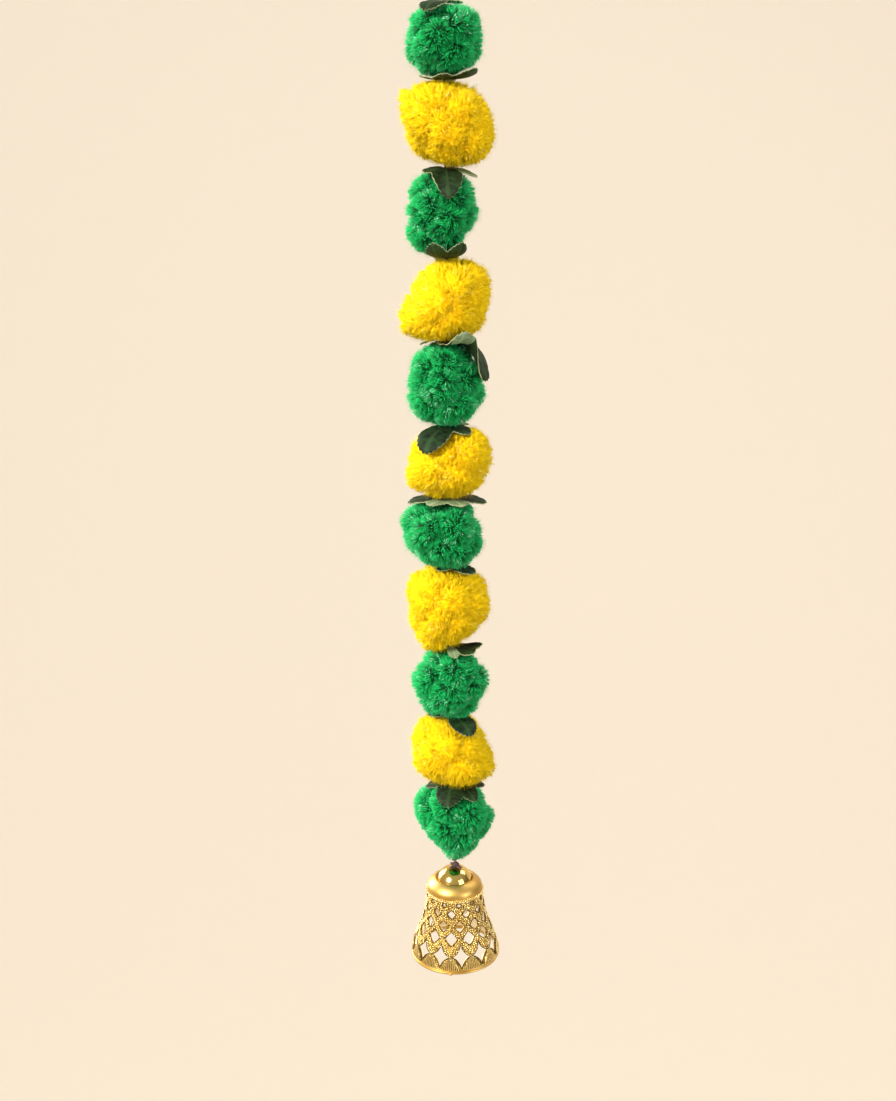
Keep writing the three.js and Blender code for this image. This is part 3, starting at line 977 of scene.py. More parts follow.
@dataclass(frozen=True)
class ClothFinish(Finish):
    """One side of the leaf cloth."""

    ground: str
    shadow: str
    vein: str
    roughness: float
    vein_strength: float
    side_veins: float = 7.0
    slant: float = 5.0

    def looks(self, graph: Graph) -> dict[str, object]:
        """Mottles the cloth and draws veins that follow each lobe's own map.

        Args:
            graph: The material's nodes.

        Returns:
            Values and sockets for the shader's inputs.
        """
        grain = graph.grain(220.0)
        place = graph.add("ShaderNodeUVMap", uv_map=LeafPiece.LOBE_MAP)
        split = graph.add("ShaderNodeSeparateXYZ", {0: place.outputs[0]})
        across = graph.math("ABSOLUTE", graph.minus(split.outputs[0], 0.5))
        along = split.outputs[1]
        rib = graph.span(across, 0.012, 0.05, 1.0, 0.0)
        slanted = graph.minus(graph.times(along, self.side_veins), graph.times(across, self.slant))
        wave = graph.math("ABSOLUTE", graph.minus(graph.math("FRACT", slanted), 0.5))
        fading = graph.span(across, 0.02, 0.48, 0.9, 0.1)
        side_rib = graph.times(graph.span(wave, 0.02, 0.1, 1.0, 0.0), fading)
        veins = graph.math("MAXIMUM", rib, side_rib)
        mottled = graph.blend(grain["Mask"], srgb(self.shadow), srgb(self.ground))
        shown = graph.times(veins, self.vein_strength)
        height = graph.plus(graph.times(grain["Height"], 0.25), veins)
        return {
            "Base Color": graph.blend(shown, mottled, srgb(self.vein)),
            "Normal": graph.bump(height, 0.35, 0.0004),
            "Roughness": self.roughness,
            "Specular IOR Level": 0.2,
        }


@dataclass(frozen=True)
class ThreadFinish(Finish):
    """Cotton thread, as hex codes."""

    ground: str
    shadow: str

    def looks(self, graph: Graph) -> dict[str, object]:
        """Gives the thread a fine fibre grain along its length.

        Args:
            graph: The material's nodes.

        Returns:
            Values and sockets for the shader's inputs.
        """
        grain = graph.grain(900.0, (1.0, 1.0, 0.35))
        return {
            "Base Color": graph.blend(grain["Mask"], srgb(self.shadow), srgb(self.ground)),
            "Normal": graph.bump(grain["Height"], 0.5, 0.0002),
            "Roughness": 0.8,
            "Sheen Weight": 0.3,
        }


@dataclass(frozen=True)
class GoldFinish(Finish):
    """Plated gold, as hex codes."""

    bright: str
    worn: str
    roughness: float
    grain_scale: float
    relief: float = 0.0

    def looks(self, graph: Graph) -> dict[str, object]:
        """Plates the piece, with a slightly uneven gloss.

        Args:
            graph: The material's nodes.

        Returns:
            Values and sockets for the shader's inputs.
        """
        grain = graph.grain(self.grain_scale)
        looks = {
            "Base Color": graph.blend(grain["Mask"], srgb(self.worn), srgb(self.bright)),
            "Roughness": graph.span(grain["Mask"], 0.0, 1.0, self.roughness * 1.35, self.roughness),
            "Metallic": 1.0,
        }
        if self.relief > 0:
            looks["Normal"] = graph.bump(grain["Height"], self.relief, 0.0003)
        return looks


# Number inputs of the tuft tree, each with the field of TuftCut that sets it and that field's unit
TUFT_INPUTS = {
    "Tuft Spacing": ("spacing", MM),
    "Fibre Density": ("fibres_per_mm2", MM2_IN_M2),
    "Fibre Length": ("length", MM),
    "Fibre Width": ("width", MM),
    "Gather": ("gather", 1),
    "Lean": ("lean", 1),
    "Stray": ("stray", 1),
    "Droop": ("droop", 1),
    "Tuft Unevenness": ("unevenness", 1),
    "Rounding": ("rounding", 1),
    "Blunt Share": ("blunt_share", 1),
    "Long Share": ("long_share", 1),
    "Long Extra": ("long_extra", 1),
}


class TuftTree:
    """Geometry Nodes tree that grows gathered yarn fibres out of a pompom's core, in metres."""

    MOST_TUFTS = 4e6
    FRAYING = 0.1
    SHORTEST_SHARE = 0.3
    LEAF_SEARCH = 0.016
    LEAF_ROOM = 0.0006
    SHORTEST = 0.0004
    LONG_SLIMMING = 0.7
    WIDTHS = (0.7, 1.3)
    TUFT_SHADE = 0.55
    FIBRE_SHADE = 0.4
    SWELLING = -1.6
    LEAN_SHADING = 0.6
    ALL_WAYS = ((-1, -1, -1), (1, 1, 1))

    def __init__(self) -> None:
        """Builds the tree, from the points on the core to the dressed pompom."""
        self.graph, entry, exit_node = new_group(
            "yarn_tufts",
            "GeometryNodeTree",
            {
                "Core": Kind.MESH,
                **{name: Kind.NUMBER for name in TUFT_INPUTS},
                "Pointed Fibre": Kind.OBJECT,
                "Blunt Fibre": Kind.OBJECT,
                "Leaves": Kind.OBJECT,
                "Seed": Kind.WHOLE,
                "Yarn": Kind.MATERIAL,
            },
            {"Pompom": Kind.MESH},
        )
        graph, given = self.graph, entry.outputs
        self.given = given
        self.tufts = self.strewn_points("POISSON", "Distance Min", given["Tuft Spacing"])["Points"]
        self.fibres = self.strewn_points("RANDOM", "Density", given["Fibre Density"])
        self.place = graph.add("GeometryNodeInputPosition").outputs[0]
        search = {"Geometry": self.tufts, "Sample Position": self.place}
        self.nearest = graph.add("GeometryNodeSampleNearest", search).outputs[0]
        self.toward = graph.vector("SUBTRACT", self.of_tuft("FLOAT_VECTOR", self.place), self.place)
        leaning = self.of_tuft("FLOAT_VECTOR", self.drawn("FLOAT_VECTOR", *self.ALL_WAYS, 11))
        self.lean = graph.scaled(leaning, given["Lean"])
        self.lot = self.drawn("FLOAT", 0.0, 1.0, 15)
        self.is_long = graph.math("GREATER_THAN", self.lot, graph.minus(1.0, given["Long Share"]))
        grown_yarn = self.mapped(self.fibres_on_points(self.marked_points()))
        both = graph.add("GeometryNodeJoinGeometry", {"Geometry": given["Core"]})
        graph.tree.links.new(grown_yarn, both.inputs[0])
        finish = {"Geometry": both.outputs[0], "Material": given["Yarn"]}
        dressed = graph.add("GeometryNodeSetMaterial", finish)
        graph.feed(exit_node.inputs["Pompom"], dressed.outputs[0])

    def strewn_points(self, method: str, label: str, value: Socket) -> bpy.types.NodeOutputs:
        """Strews points over the core.

        Args:
            method: Way of strewing, "POISSON" for even gaps or "RANDOM".
            label: Name of the input that says how close they stand.
            value: Value of that input.

        Returns:
            The node's outputs, with the points and their normals.
        """
        inputs = {"Mesh": self.given["Core"], label: value, "Seed": self.given["Seed"]}
        if method == "POISSON":
            inputs["Density Max"] = self.MOST_TUFTS
        kind = "GeometryNodeDistributePointsOnFaces"
        return self.graph.add(kind, inputs, distribute_method=method).outputs

    def drawn(self, kind: str, low: object, high: object, salt: int) -> Socket:
        """Draws a random value for each point.

        Args:
            kind: Data type of the value.
            low: Its lowest value.
            high: Its highest value.
            salt: Number that sets this draw apart from the others.

        Returns:
            The value.
        """
        node = self.graph.add("FunctionNodeRandomValue", {"Min": low, "Max": high}, data_type=kind)
        seed = self.graph.plus(self.given["Seed"], float(salt))
        self.graph.fill(node, {"Seed": seed})
        return self.graph.out(node)

    def of_tuft(self, kind: str, value: Socket) -> Socket:
        """Reads a value of the tuft that a fibre belongs to.

        Args:
            kind: Data type of the value.
            value: The value, as each tuft has it.

        Returns:
            The same value at each fibre.
        """
        node = self.graph.add("GeometryNodeSampleIndex", data_type=kind, domain="POINT")
        self.graph.fill(node, {"Geometry": self.tufts, "Value": value, "Index": self.nearest})
        return self.graph.out(node)

    def ways(self) -> Socket:
        """Sets each fibre's way: off the core, gathered, leaning, astray and drooping.

        Returns:
            Unit vectors along the fibres.
        """
        graph, given = self.graph, self.given
        pull = graph.scaled(self.toward, graph.math("DIVIDE", given["Gather"], given["Fibre Length"]))
        stray = graph.scaled(self.drawn("FLOAT_VECTOR", *self.ALL_WAYS, 12), given["Stray"])
        down = graph.scaled((0.0, 0.0, -1.0), given["Droop"])
        sums = self.fibres["Normal"]
        for part in (pull, self.lean, stray, down):
            sums = graph.vector("ADD", sums, part)
        return graph.vector("NORMALIZE", sums)

    def lengths(self) -> Socket:
        """Cuts the fibres: tufts unevenly, rounded at their sides, and with some long ends.

        Returns:
            The length of each fibre.
        """
        graph, given = self.graph, self.given
        cut = self.of_tuft("FLOAT", self.drawn("FLOAT", 0.0, 1.0, 13))
        uneven = graph.times(cut, given["Tuft Unevenness"])
        off_centre = graph.math("DIVIDE", graph.vector("LENGTH", self.toward), given["Tuft Spacing"])
        dip = graph.times(graph.math("POWER", off_centre, 2.0), given["Rounding"])
        frayed = graph.times(self.drawn("FLOAT", 0.0, 1.0, 14), self.FRAYING)
        short = graph.minus(1.0, graph.plus(graph.plus(uneven, dip), frayed))
        stretch = graph.plus(short, graph.times(self.is_long, given["Long Extra"]))
        return graph.times(given["Fibre Length"], graph.math("MAXIMUM", stretch, self.SHORTEST_SHARE))

    def pressed(self, way: Socket, length: Socket) -> Socket:
        """Presses down the fibres that a leaf piece lies on.

        Args:
            way: Unit vectors along the fibres.
            length: Length of each fibre.

        Returns:
            The length that fits under the leaf pieces.
        """
        graph = self.graph
        leaves = graph.add("GeometryNodeObjectInfo", {"Object": self.given["Leaves"]})
        sight = {"Source Position": self.place, "Ray Direction": way, "Ray Length": self.LEAF_SEARCH}
        target = {"Target Geometry": leaves.outputs["Geometry"]}
        ray = graph.add("GeometryNodeRaycast", {**target, **sight}).outputs
        room = graph.minus(ray["Hit Distance"], self.LEAF_ROOM)
        choice = {"Switch": ray["Is Hit"], "False": length, "True": graph.math("MINIMUM", length, room)}
        kept = graph.add("GeometryNodeSwitch", choice, input_type="FLOAT").outputs[0]
        return graph.math("MAXIMUM", kept, self.SHORTEST)

    def marked_points(self) -> Socket:
        """Stores each fibre's shade and its soft shading direction on its point.

        Returns:
            The fibres' points.
        """
        graph = self.graph
        of_tuft = graph.times(self.of_tuft("FLOAT", self.drawn("FLOAT", 0.0, 1.0, 18)), self.TUFT_SHADE)
        tone = graph.plus(of_tuft, self.drawn("FLOAT", 0.0, self.FIBRE_SHADE, 19))
        points = graph.stored(self.fibres["Points"], "tone", tone, "FLOAT", "POINT")
        bulge = graph.times(self.given["Gather"], self.SWELLING)
        swell = graph.scaled(self.toward, graph.math("DIVIDE", bulge, self.given["Tuft Spacing"]))
        round_way = graph.vector("ADD", self.fibres["Normal"], swell)
        soft = graph.vector("ADD", round_way, graph.scaled(self.lean, self.LEAN_SHADING))
        return graph.stored(points, SOFT_WAY, graph.vector("NORMALIZE", soft), "FLOAT_VECTOR", "POINT")

    def fibres_on_points(self, points: Socket) -> Socket:
        """Sets a pointed or a blunt fibre on each point.

        Args:
            points: The fibres' points.

        Returns:
            The fibres as one mesh.
        """
        graph, given = self.graph, self.given
        way = self.ways()
        height = self.pressed(way, self.lengths())
        upright = graph.add("FunctionNodeAlignRotationToVector", {"Vector": way}, axis="Z")
        turn = {"Axis": (0.0, 0.0, 1.0), "Angle": self.drawn("FLOAT", 0.0, 6.283, 16)}
        spin = graph.add("FunctionNodeAxisAngleToRotation", turn)
        both = {"Rotation": upright.outputs[0], "Rotate By": spin.outputs[0]}
        turned = graph.add("FunctionNodeRotateRotation", both, rotation_space="LOCAL").outputs[0]
        slim = graph.minus(1.0, graph.times(self.is_long, self.LONG_SLIMMING))
        unlike = graph.times(slim, self.drawn("FLOAT", *self.WIDTHS, 17))
        width = graph.times(given["Fibre Width"], unlike)
        size = graph.add("ShaderNodeCombineXYZ", {0: width, 1: width, 2: height}).outputs[0]
        is_blunt = graph.math("LESS_THAN", self.lot, given["Blunt Share"])
        is_pointed = graph.minus(1.0, is_blunt)
        strewn = graph.add("GeometryNodeJoinGeometry")
        for label, chosen in (("Pointed Fibre", is_pointed), ("Blunt Fibre", is_blunt)):
            fibre = graph.add("GeometryNodeObjectInfo", {"Object": given[label]}).outputs["Geometry"]
            copies = graph.add(
                "GeometryNodeInstanceOnPoints",
                {"Points": points, "Selection": chosen, "Instance": fibre, "Rotation": turned, "Scale": size},
            )
            graph.tree.links.new(copies.outputs[0], strewn.inputs[0])
        return graph.add("GeometryNodeRealizeInstances", {"Geometry": strewn.outputs[0]}).outputs[0]

    def mapped(self, fibres: Socket) -> Socket:
        """Moves each fibre's map by its shade.

        Args:
            fibres: The fibres as one mesh.

        Returns:
            The same mesh with its map.
        """
        graph = self.graph
        shift = graph.add("ShaderNodeCombineXYZ", {0: graph.named("tone", "FLOAT")}).outputs[0]
        moved = graph.vector("ADD", graph.named(YARN_MAP, "FLOAT_VECTOR"), shift)
        return graph.stored(fibres, YARN_MAP, moved, "FLOAT2", "CORNER")


def fibre_mesh(name: str, wide: Pair, point: Pair) -> Mesh:
    """One yarn fibre: a slim closed three-sided spike, one unit long, with its own map.

    Args:
        name: Name of the mesh.
        wide: Height of the fibre's wide end, and its place on the map along the fibre.
        point: The same of its pointed end.

    Returns:
        The fibre.
    """
    turns = [2 * math.pi * k / 3 for k in range(3)]
    points = [(0.5 * math.cos(t), 0.5 * math.sin(t), wide[0]) for t in turns] + [(0.0, 0.0, point[0])]
    faces = [(0, 1, 3), (1, 2, 3), (2, 0, 3), (2, 1, 0)]
    if point[0] < wide[0]:
        faces = [face[::-1] for face in faces]
    mesh = bpy.data.meshes.new(name)
    mesh.from_pydata(points, [], faces)
    layer = mesh.uv_layers.new(name=YARN_MAP)
    for corner in mesh.loops:
        across = 0.005 + 0.011 * corner.vertex_index
        layer.data[corner.index].uv = (across, point[1] if corner.vertex_index == 3 else wide[1])
    shade_smooth(mesh)
    return mesh


@dataclass(frozen=True)
class TuftCut:
    """How one yarn is cut and combed, in millimetres, degrees and shares."""

    spacing: float = 2.7
    fibres_per_mm2: float = 3.25
    length: float = 4.8
    width: float = 0.58
    gather: float = 0.4
    lean: float = 0.32
    stray: float = 0.24
    droop: float = 0.0
    unevenness: float = 0.24
    rounding: float = 0.12
    blunt_share: float = 0.2
    long_share: float = 0.3
    long_extra: float = 0.46
    pole_reach: float = 1.3
    tail: float = 0.0
    clumps: int = 16
    crease: float = 3.2
    crease_width: float = 9.0


TUFTS = {
    Yarn.YELLOW: TuftCut(),
    Yarn.GREEN: TuftCut(
        spacing=3.0,
        fibres_per_mm2=3.75,
        length=5.2,
        width=0.52,
        gather=0.36,
        lean=0.36,
        droop=0.2,
        rounding=0.1,
        blunt_share=0.3,
        long_share=0.26,
        clumps=10,
        crease=5.6,
        crease_width=11.0,
    ),
}


@dataclass
class Pompom:
    """One pompom of cut yarn: fibres gathered in tufts round a dense core."""

    POLE_POWER = 3
    TAIL_POWER = 24
    SMOOTH_POLE_POWER = 8
    SOFT_SHARE = 0.8
    OWN_SHARE = 0.25

    form: YarnForm
    cut: TuftCut
    yarn: Material

    def core(self) -> Thing:
        """Dense heart of the pompom, on which its fibres stand.

        Returns:
            The core, with its own map.
        """
        work = bmesh.new()
        bmesh.ops.create_icosphere(work, subdivisions=4, radius=1.0)
        ways = np.array([v.co for v in work.verts], float)
        ways /= np.linalg.norm(ways, axis=1)[:, None]
        pole = self.cut.pole_reach * np.abs(ways[:, 2]) ** self.POLE_POWER
        tail = self.cut.tail * np.maximum(0, -ways[:, 2]) ** self.TAIL_POWER
        reach = self.form.reach(ways) + self.form.ruffled(ways) + pole + tail
        creases = self.form.creased(ways, self.cut.clumps, self.cut.crease, self.cut.crease_width)
        reach -= creases * (1 - ways[:, 2] ** self.SMOOTH_POLE_POWER)
        distance = reach - self.cut.length * (1 - self.cut.unevenness * 0.4)
        places = self.form.swayed(self.form.heart + ways * distance[:, None]) * MM
        layer = work.loops.layers.uv.new(YARN_MAP)
        for vertex, place in zip(work.verts, places):
            vertex.co = place
        middle = Vector(self.form.heart * MM)
        # Each face of the core sits at the root end of the map along the fibre, so the core takes the root
        # colour: painted shade
        for face in work.faces:
            off = face.calc_center_median() - middle
            azimuth = math.atan2(off.y, off.x)
            tone = 0.02 + 0.4 * (azimuth / (2 * math.pi) + 0.5)
            for k, loop in enumerate(face.loops):
                loop[layer].uv = (tone + 0.01 * (k == 1), 0.02 + 0.03 * (k == 2))
            face.smooth = True
        return worked(self.name, work)

    @property
    def name(self) -> str:
        """Name of the dressed pompom."""
        return f"yarn_{self.form.yarn.value}_{self.form.number}"

    def build(self, tree: Tree, fibres: tuple[Thing, Thing], leaves: Thing) -> Thing:
        """Grows the fibres and puts the pompom in the place of its solid.

        Args:
            tree: The tuft tree.
            fibres: The pointed and the blunt fibre.
            leaves: The leaf pieces next to the pompom.

        Returns:
            The pompom.
        """
        values = {label: getattr(self.cut, size) * unit for label, (size, unit) in TUFT_INPUTS.items()}
        values |= {"Pointed Fibre": fibres[0], "Blunt Fibre": fibres[1], "Leaves": leaves}
        values |= {"Seed": self.form.seed * SEED_STEP, "Yarn": self.yarn}
        piece = grown(self.core(), tree, values)
        self.soften(piece.data)
        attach(piece, STRAND)
        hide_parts(self.form.node)
        return piece

    def soften(self, mesh: Mesh) -> None:
        """Shades each tuft as one soft swelling, as brushed yarn looks.

        Args:
            mesh: The pompom's mesh.
        """
        ways = mesh.attributes[SOFT_WAY]
        soft = np.empty(len(mesh.vertices) * 3)
        ways.data.foreach_get("vector", soft)
        own = np.empty(len(mesh.vertices) * 3)
        mesh.vertices.foreach_get("normal", own)
        both = soft.reshape(-1, 3) * self.SOFT_SHARE + own.reshape(-1, 3) * self.OWN_SHARE
        mesh.attributes.remove(ways)
        mesh.normals_split_custom_set_from_vertices(both / np.linalg.norm(both, axis=1)[:, None])


@dataclass
class LeafPiece:
    """One stamped cloth leaf piece between two pompoms."""

    LOBE_MAP = "lobe"
    TEETH_START = 2.0
    TEETH_FULL = 7.0

    number: int
    lobes: tuple[Lobe, ...]
    below: YarnForm
    above: YarnForm
    cloth: tuple[Material, Material, Material]
    thickness: float = 0.55
    hole: float = 1.05
    root: float = 4.6
    turn_width: float = 26.0
    fullness: float = 1.5
    samples: int = 120
    rings: int = 11
    tooth: float = 0.42
    fold: float = 0.5
    ruffle: float = 0.35
    ruffles: int = 11

    @property
    def name(self) -> str:
        """Name of the dressed leaf piece."""
        return f"leaf_cloth_{self.number}"

    def shares(self, azimuth: Array) -> Array:
        """How far each direction lies towards the middle of each lobe, one row a lobe."""
        turns = [np.abs(turn_between(azimuth, lobe.at)) / lobe.spread for lobe in self.lobes]
        return np.maximum(0, 1 - np.array(turns) ** self.fullness)

    def outline(self, azimuth: Array) -> Array:
        """Reach of the toothed outline in each direction.

        Args:
            azimuth: Directions in degrees, at even steps all round.

        Returns:
            One reach for each direction.
        """
        reaches = np.array([[lobe.reach] for lobe in self.lobes])
        smooth = np.max(self.root + (reaches - self.root) * self.shares(azimuth), axis=0)
        teeth = np.where(np.arange(len(azimuth)) % 2 == 0, 1.0, -1.0)
        shown = smooth_step(self.root + self.TEETH_START, self.root + self.TEETH_FULL, smooth)
        return smooth + self.tooth * teeth * shown

    def side(self, azimuth: Array, share: float) -> Array:
        """Where the piece lies between its two pompoms, blended between neighbouring lobes.

        Args:
            azimuth: Directions in degrees.
            share: Share of the way from the hole to the outline.

        Returns:
            Values from -1 on the pompom below to 1 under the one above.
        """
        total = np.zeros_like(azimuth)
        weights = np.zeros_like(azimuth)
        for lobe in self.lobes:
            weight = np.exp(-((turn_between(azimuth, lobe.at) / self.turn_width) ** 2)) + 1e-6
            total += weight * mix(lobe.root, lobe.tip, share)
            weights += weight
        return total / weights

    def middle(self, azimuth: Array, distance: Array, side: Array) -> Array:
        """Points of the piece's middle surface at a distance from the thread.

        Args:
            azimuth: Directions in degrees.
            distance: Distance from the thread along the piece.
            side: Where it lies, as side gives it.

        Returns:
            One point for each direction, in millimetres.
        """
        angle = np.radians(azimuth)
        places = []
        for form, up in ((self.below, 1.0), (self.above, -1.0)):
            tilt = distance / (form.half_height + SEAT_ROOM)
            flat = np.sin(tilt)
            ways = np.stack([flat * np.cos(angle), flat * np.sin(angle), up * np.cos(tilt)], axis=-1)
            places.append(form.outside(ways, SEAT_ROOM + LEAF_LIFT * flat))
        share = ((side + 1) / 2)[:, None]
        return places[0] * (1 - share) + places[1] * share

    def grid(self) -> tuple[Array, Array]:
        """Rings of points of the middle surface, and the outline's reach in each direction.

        Returns:
            The points by ring and direction, and the reaches.
        """
        azimuth = np.arange(self.samples) * 360.0 / self.samples
        outline = self.outline(azimuth)
        rows = []
        for share in np.linspace(0, 1, self.rings):
            distance = self.hole + (outline - self.hole) * share
            rows.append(self.middle(azimuth, distance, self.side(azimuth, share)))
        return np.array(rows), outline

    def normals(self, rows: Array) -> Array:
        """Directions across the sheet, away from the pompom below."""
        across = np.cross(np.gradient(rows, axis=0), np.roll(rows, -1, axis=1) - np.roll(rows, 1, axis=1))
        return across / np.linalg.norm(across, axis=2)[..., None]

    def lobe_place(self, azimuth: float, distance: float, lobe: Lobe) -> Pair:
        """Place in a lobe's own map: across it from 0 to 1, and along it from its root."""
        across = float(turn_between(np.array([azimuth]), lobe.at)[0]) / lobe.spread
        return 0.5 + 0.5 * max(-1.0, min(1.0, across)), distance / lobe.reach

    def build(self) -> Thing:
        """Makes the sheet with its dark face, its pale face and its cut edge.

        Returns:
            The leaf piece.
        """
        rows, outline = self.grid()
        normals = self.normals(rows)
        azimuth = np.arange(self.samples) * 360.0 / self.samples
        near = 1 - np.max(self.shares(azimuth), axis=0)
        share = np.linspace(0, 1, self.rings)[:, None]
        crease = self.fold * near[None, :] * np.sin(math.pi * np.minimum(share, 0.75))
        waves = np.sin(azimuth / 360 * 2 * math.pi * self.ruffles + self.number) * self.ruffle * share**3
        lifted = rows + normals * (crease + np.abs(waves))[..., None]
        half = self.thickness / 2
        faces = (lifted + normals * half, lifted - normals * half)
        points = np.concatenate([face.reshape(-1, 3) for face in faces])
        mesh = self.sheet_mesh(points, outline)
        piece = placed(self.name, mesh, self.cloth)
        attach(piece, STRAND)
        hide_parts(f"leaf_{self.number}")
        return piece

    def sheet_mesh(self, points: Array, outline: Array) -> Mesh:
        """Faces of both sides and of the edges, with each lobe's own map.

        Args:
            points: Points of the upper side and then of the lower side.
            outline: Reach of the outline in each direction.

        Returns:
            The sheet as a mesh.
        """
        count, rings = self.samples, self.rings
        lower = rings * count
        faces: list[list[int]] = []
        finish: list[int] = []
        places: list[Pair] = []
        step = 360.0 / count
        for k in range(count):
            after = (k + 1) % count
            middle = (k + 0.5) * step
            lobe = self.lobes[int(np.argmax(self.shares(np.array([middle]))[:, 0]))]
            for j in range(rings - 1):
                quad = [j * count + k, (j + 1) * count + k, (j + 1) * count + after, j * count + after]
                spots = []
                for ring, turn in ((j, k), (j + 1, k), (j + 1, k + 1), (j, k + 1)):
                    reach = outline[turn % count]
                    distance = mix(self.hole, reach, ring / (rings - 1))
                    spots.append(self.lobe_place(turn * step, distance, lobe))
                faces.append(quad)
                faces.append([quad[c] + lower for c in (0, 3, 2, 1)])
                finish += lobe.faces.value
                places += spots
                places += [spots[c] for c in (0, 3, 2, 1)]
            rim = (rings - 1) * count
            faces.append([rim + k, rim + k + lower, rim + after + lower, rim + after])
            faces.append([k, after, after + lower, k + lower])
            finish += [2, 2]
            places += [(0.5, 1.0)] * 8
        mesh = meshed(self.name, points, faces)
        mesh.polygons.foreach_set("material_index", finish)
        layer = mesh.uv_layers.new(name=self.LOBE_MAP)
        layer.data.foreach_set("uv", np.array(places, float).ravel())
        return mesh

    def declare(self, piece: Thing, rests_on: list[str]) -> None:
        """Works out the sheet's outline in each direction and does nothing more with it.

        Args:
            piece: The leaf piece, not used.
            rests_on: Names of the pieces that it rests on, not used.
        """
        azimuth = np.radians(np.arange(self.samples) * 360.0 / self.samples)
        outline = self.outline(np.degrees(azimuth))


def wire_tree() -> Tree:
    """Geometry Nodes tree that turns loose edges into closed wires.

    Returns:
        The tree.
    """
    graph, entry, exit_node = new_group(
        "wires",
        "GeometryNodeTree",
        {"Edges": Kind.MESH, "Radius": Kind.NUMBER, "Sides": Kind.WHOLE, "Finish": Kind.MATERIAL},
        {"Wires": Kind.MESH},
    )
    given = entry.outputs
    lines = graph.add("GeometryNodeMeshToCurve", {"Mesh": given["Edges"]})
    ring = {"Resolution": given["Sides"], "Radius": given["Radius"]}
    section = graph.add("GeometryNodeCurvePrimitiveCircle", ring)
    solid = graph.add(
        "GeometryNodeCurveToMesh", {"Curve": lines, "Profile Curve": section.outputs[0], "Fill Caps": True}
    )
    soft = graph.add("GeometryNodeSetShadeSmooth", {"Geometry": solid})
    dressed = graph.add("GeometryNodeSetMaterial", {"Geometry": soft, "Material": given["Finish"]})
    graph.feed(exit_node.inputs["Wires"], dressed.outputs[0])
    return graph.tree


def granule_tree() -> Tree:
    """Geometry Nodes tree that sets small round grains close together on a surface.

    Returns:
        The tree.
    """
    graph, entry, exit_node = new_group(
        "granules",
        "GeometryNodeTree",
        {
            "Surface": Kind.MESH,
            "Spacing": Kind.NUMBER,
            "Radius": Kind.NUMBER,
            "Seed": Kind.WHOLE,
            "Finish": Kind.MATERIAL,
        },
        {"Grains": Kind.MESH},
    )
    given = entry.outputs
    spread = {"Distance Min": given["Spacing"], "Density Max": MOST_GRAINS}
    spots = graph.add(
        "GeometryNodeDistributePointsOnFaces",
        {"Mesh": given["Surface"], **spread, "Seed": given["Seed"]},
        distribute_method="POISSON",
    )
    ball = graph.add("GeometryNodeMeshIcoSphere", {"Radius": given["Radius"], "Subdivisions": 1})
    sizes = graph.add("FunctionNodeRandomValue", {"Min": 0.8, "Max": 1.2}, data_type="FLOAT")
    copies = graph.add(
        "GeometryNodeInstanceOnPoints",
        {
            "Points": spots.outputs["Points"],
            "Instance": ball.outputs["Mesh"],
            "Rotation": spots.outputs["Rotation"],
            "Scale": graph.out(sizes),
        },
    )
    real = graph.add("GeometryNodeRealizeInstances", {"Geometry": copies})
    soft = graph.add("GeometryNodeSetShadeSmooth", {"Geometry": real})
    dressed = graph.add("GeometryNodeSetMaterial", {"Geometry": soft, "Material": given["Finish"]})
    graph.feed(exit_node.inputs["Grains"], dressed.outputs[0])
    return graph.tree


@dataclass(frozen=True)
class HoleRow:
    """One row of holes in the bell's lattice.

    Attributes:
        height: Height of the row above the mouth.
        width: Width of a hole.
        rise: Height of a hole.
        aside: Whether the row stands half a column aside.
        hollow: Reach of a star's hollow sides from its middle, or 0 for a plain diamond.
    """

    height: float
    width: float
    rise: float
    aside: bool
    hollow: float = 0.0

    def outline(self, steps: int) -> Array:
        """Points round the hole from its right corner, in millimetres from its middle.

        Args:
            steps: Points on each of its four sides.

        Returns:
            The points.
        """
        corners = [np.array([self.width / 2, 0.0]), np.array([0.0, self.rise / 2])]
        corners += [-corners[0], -corners[1]]
        points = []
        for k, corner in enumerate(corners):
            after = corners[(k + 1) % 4]
            straight = (corner + after) / 2
            bulge = 1.1 if self.hollow == 0 else 2 * self.hollow / math.sqrt(2)
            pulled = straight * bulge
            for t in np.arange(steps) / steps:
                bend = 2 * pulled - (corner + after) / 2
                points.append((1 - t) ** 2 * corner + 2 * t * (1 - t) * bend + t**2 * after)
        return np.array(points)


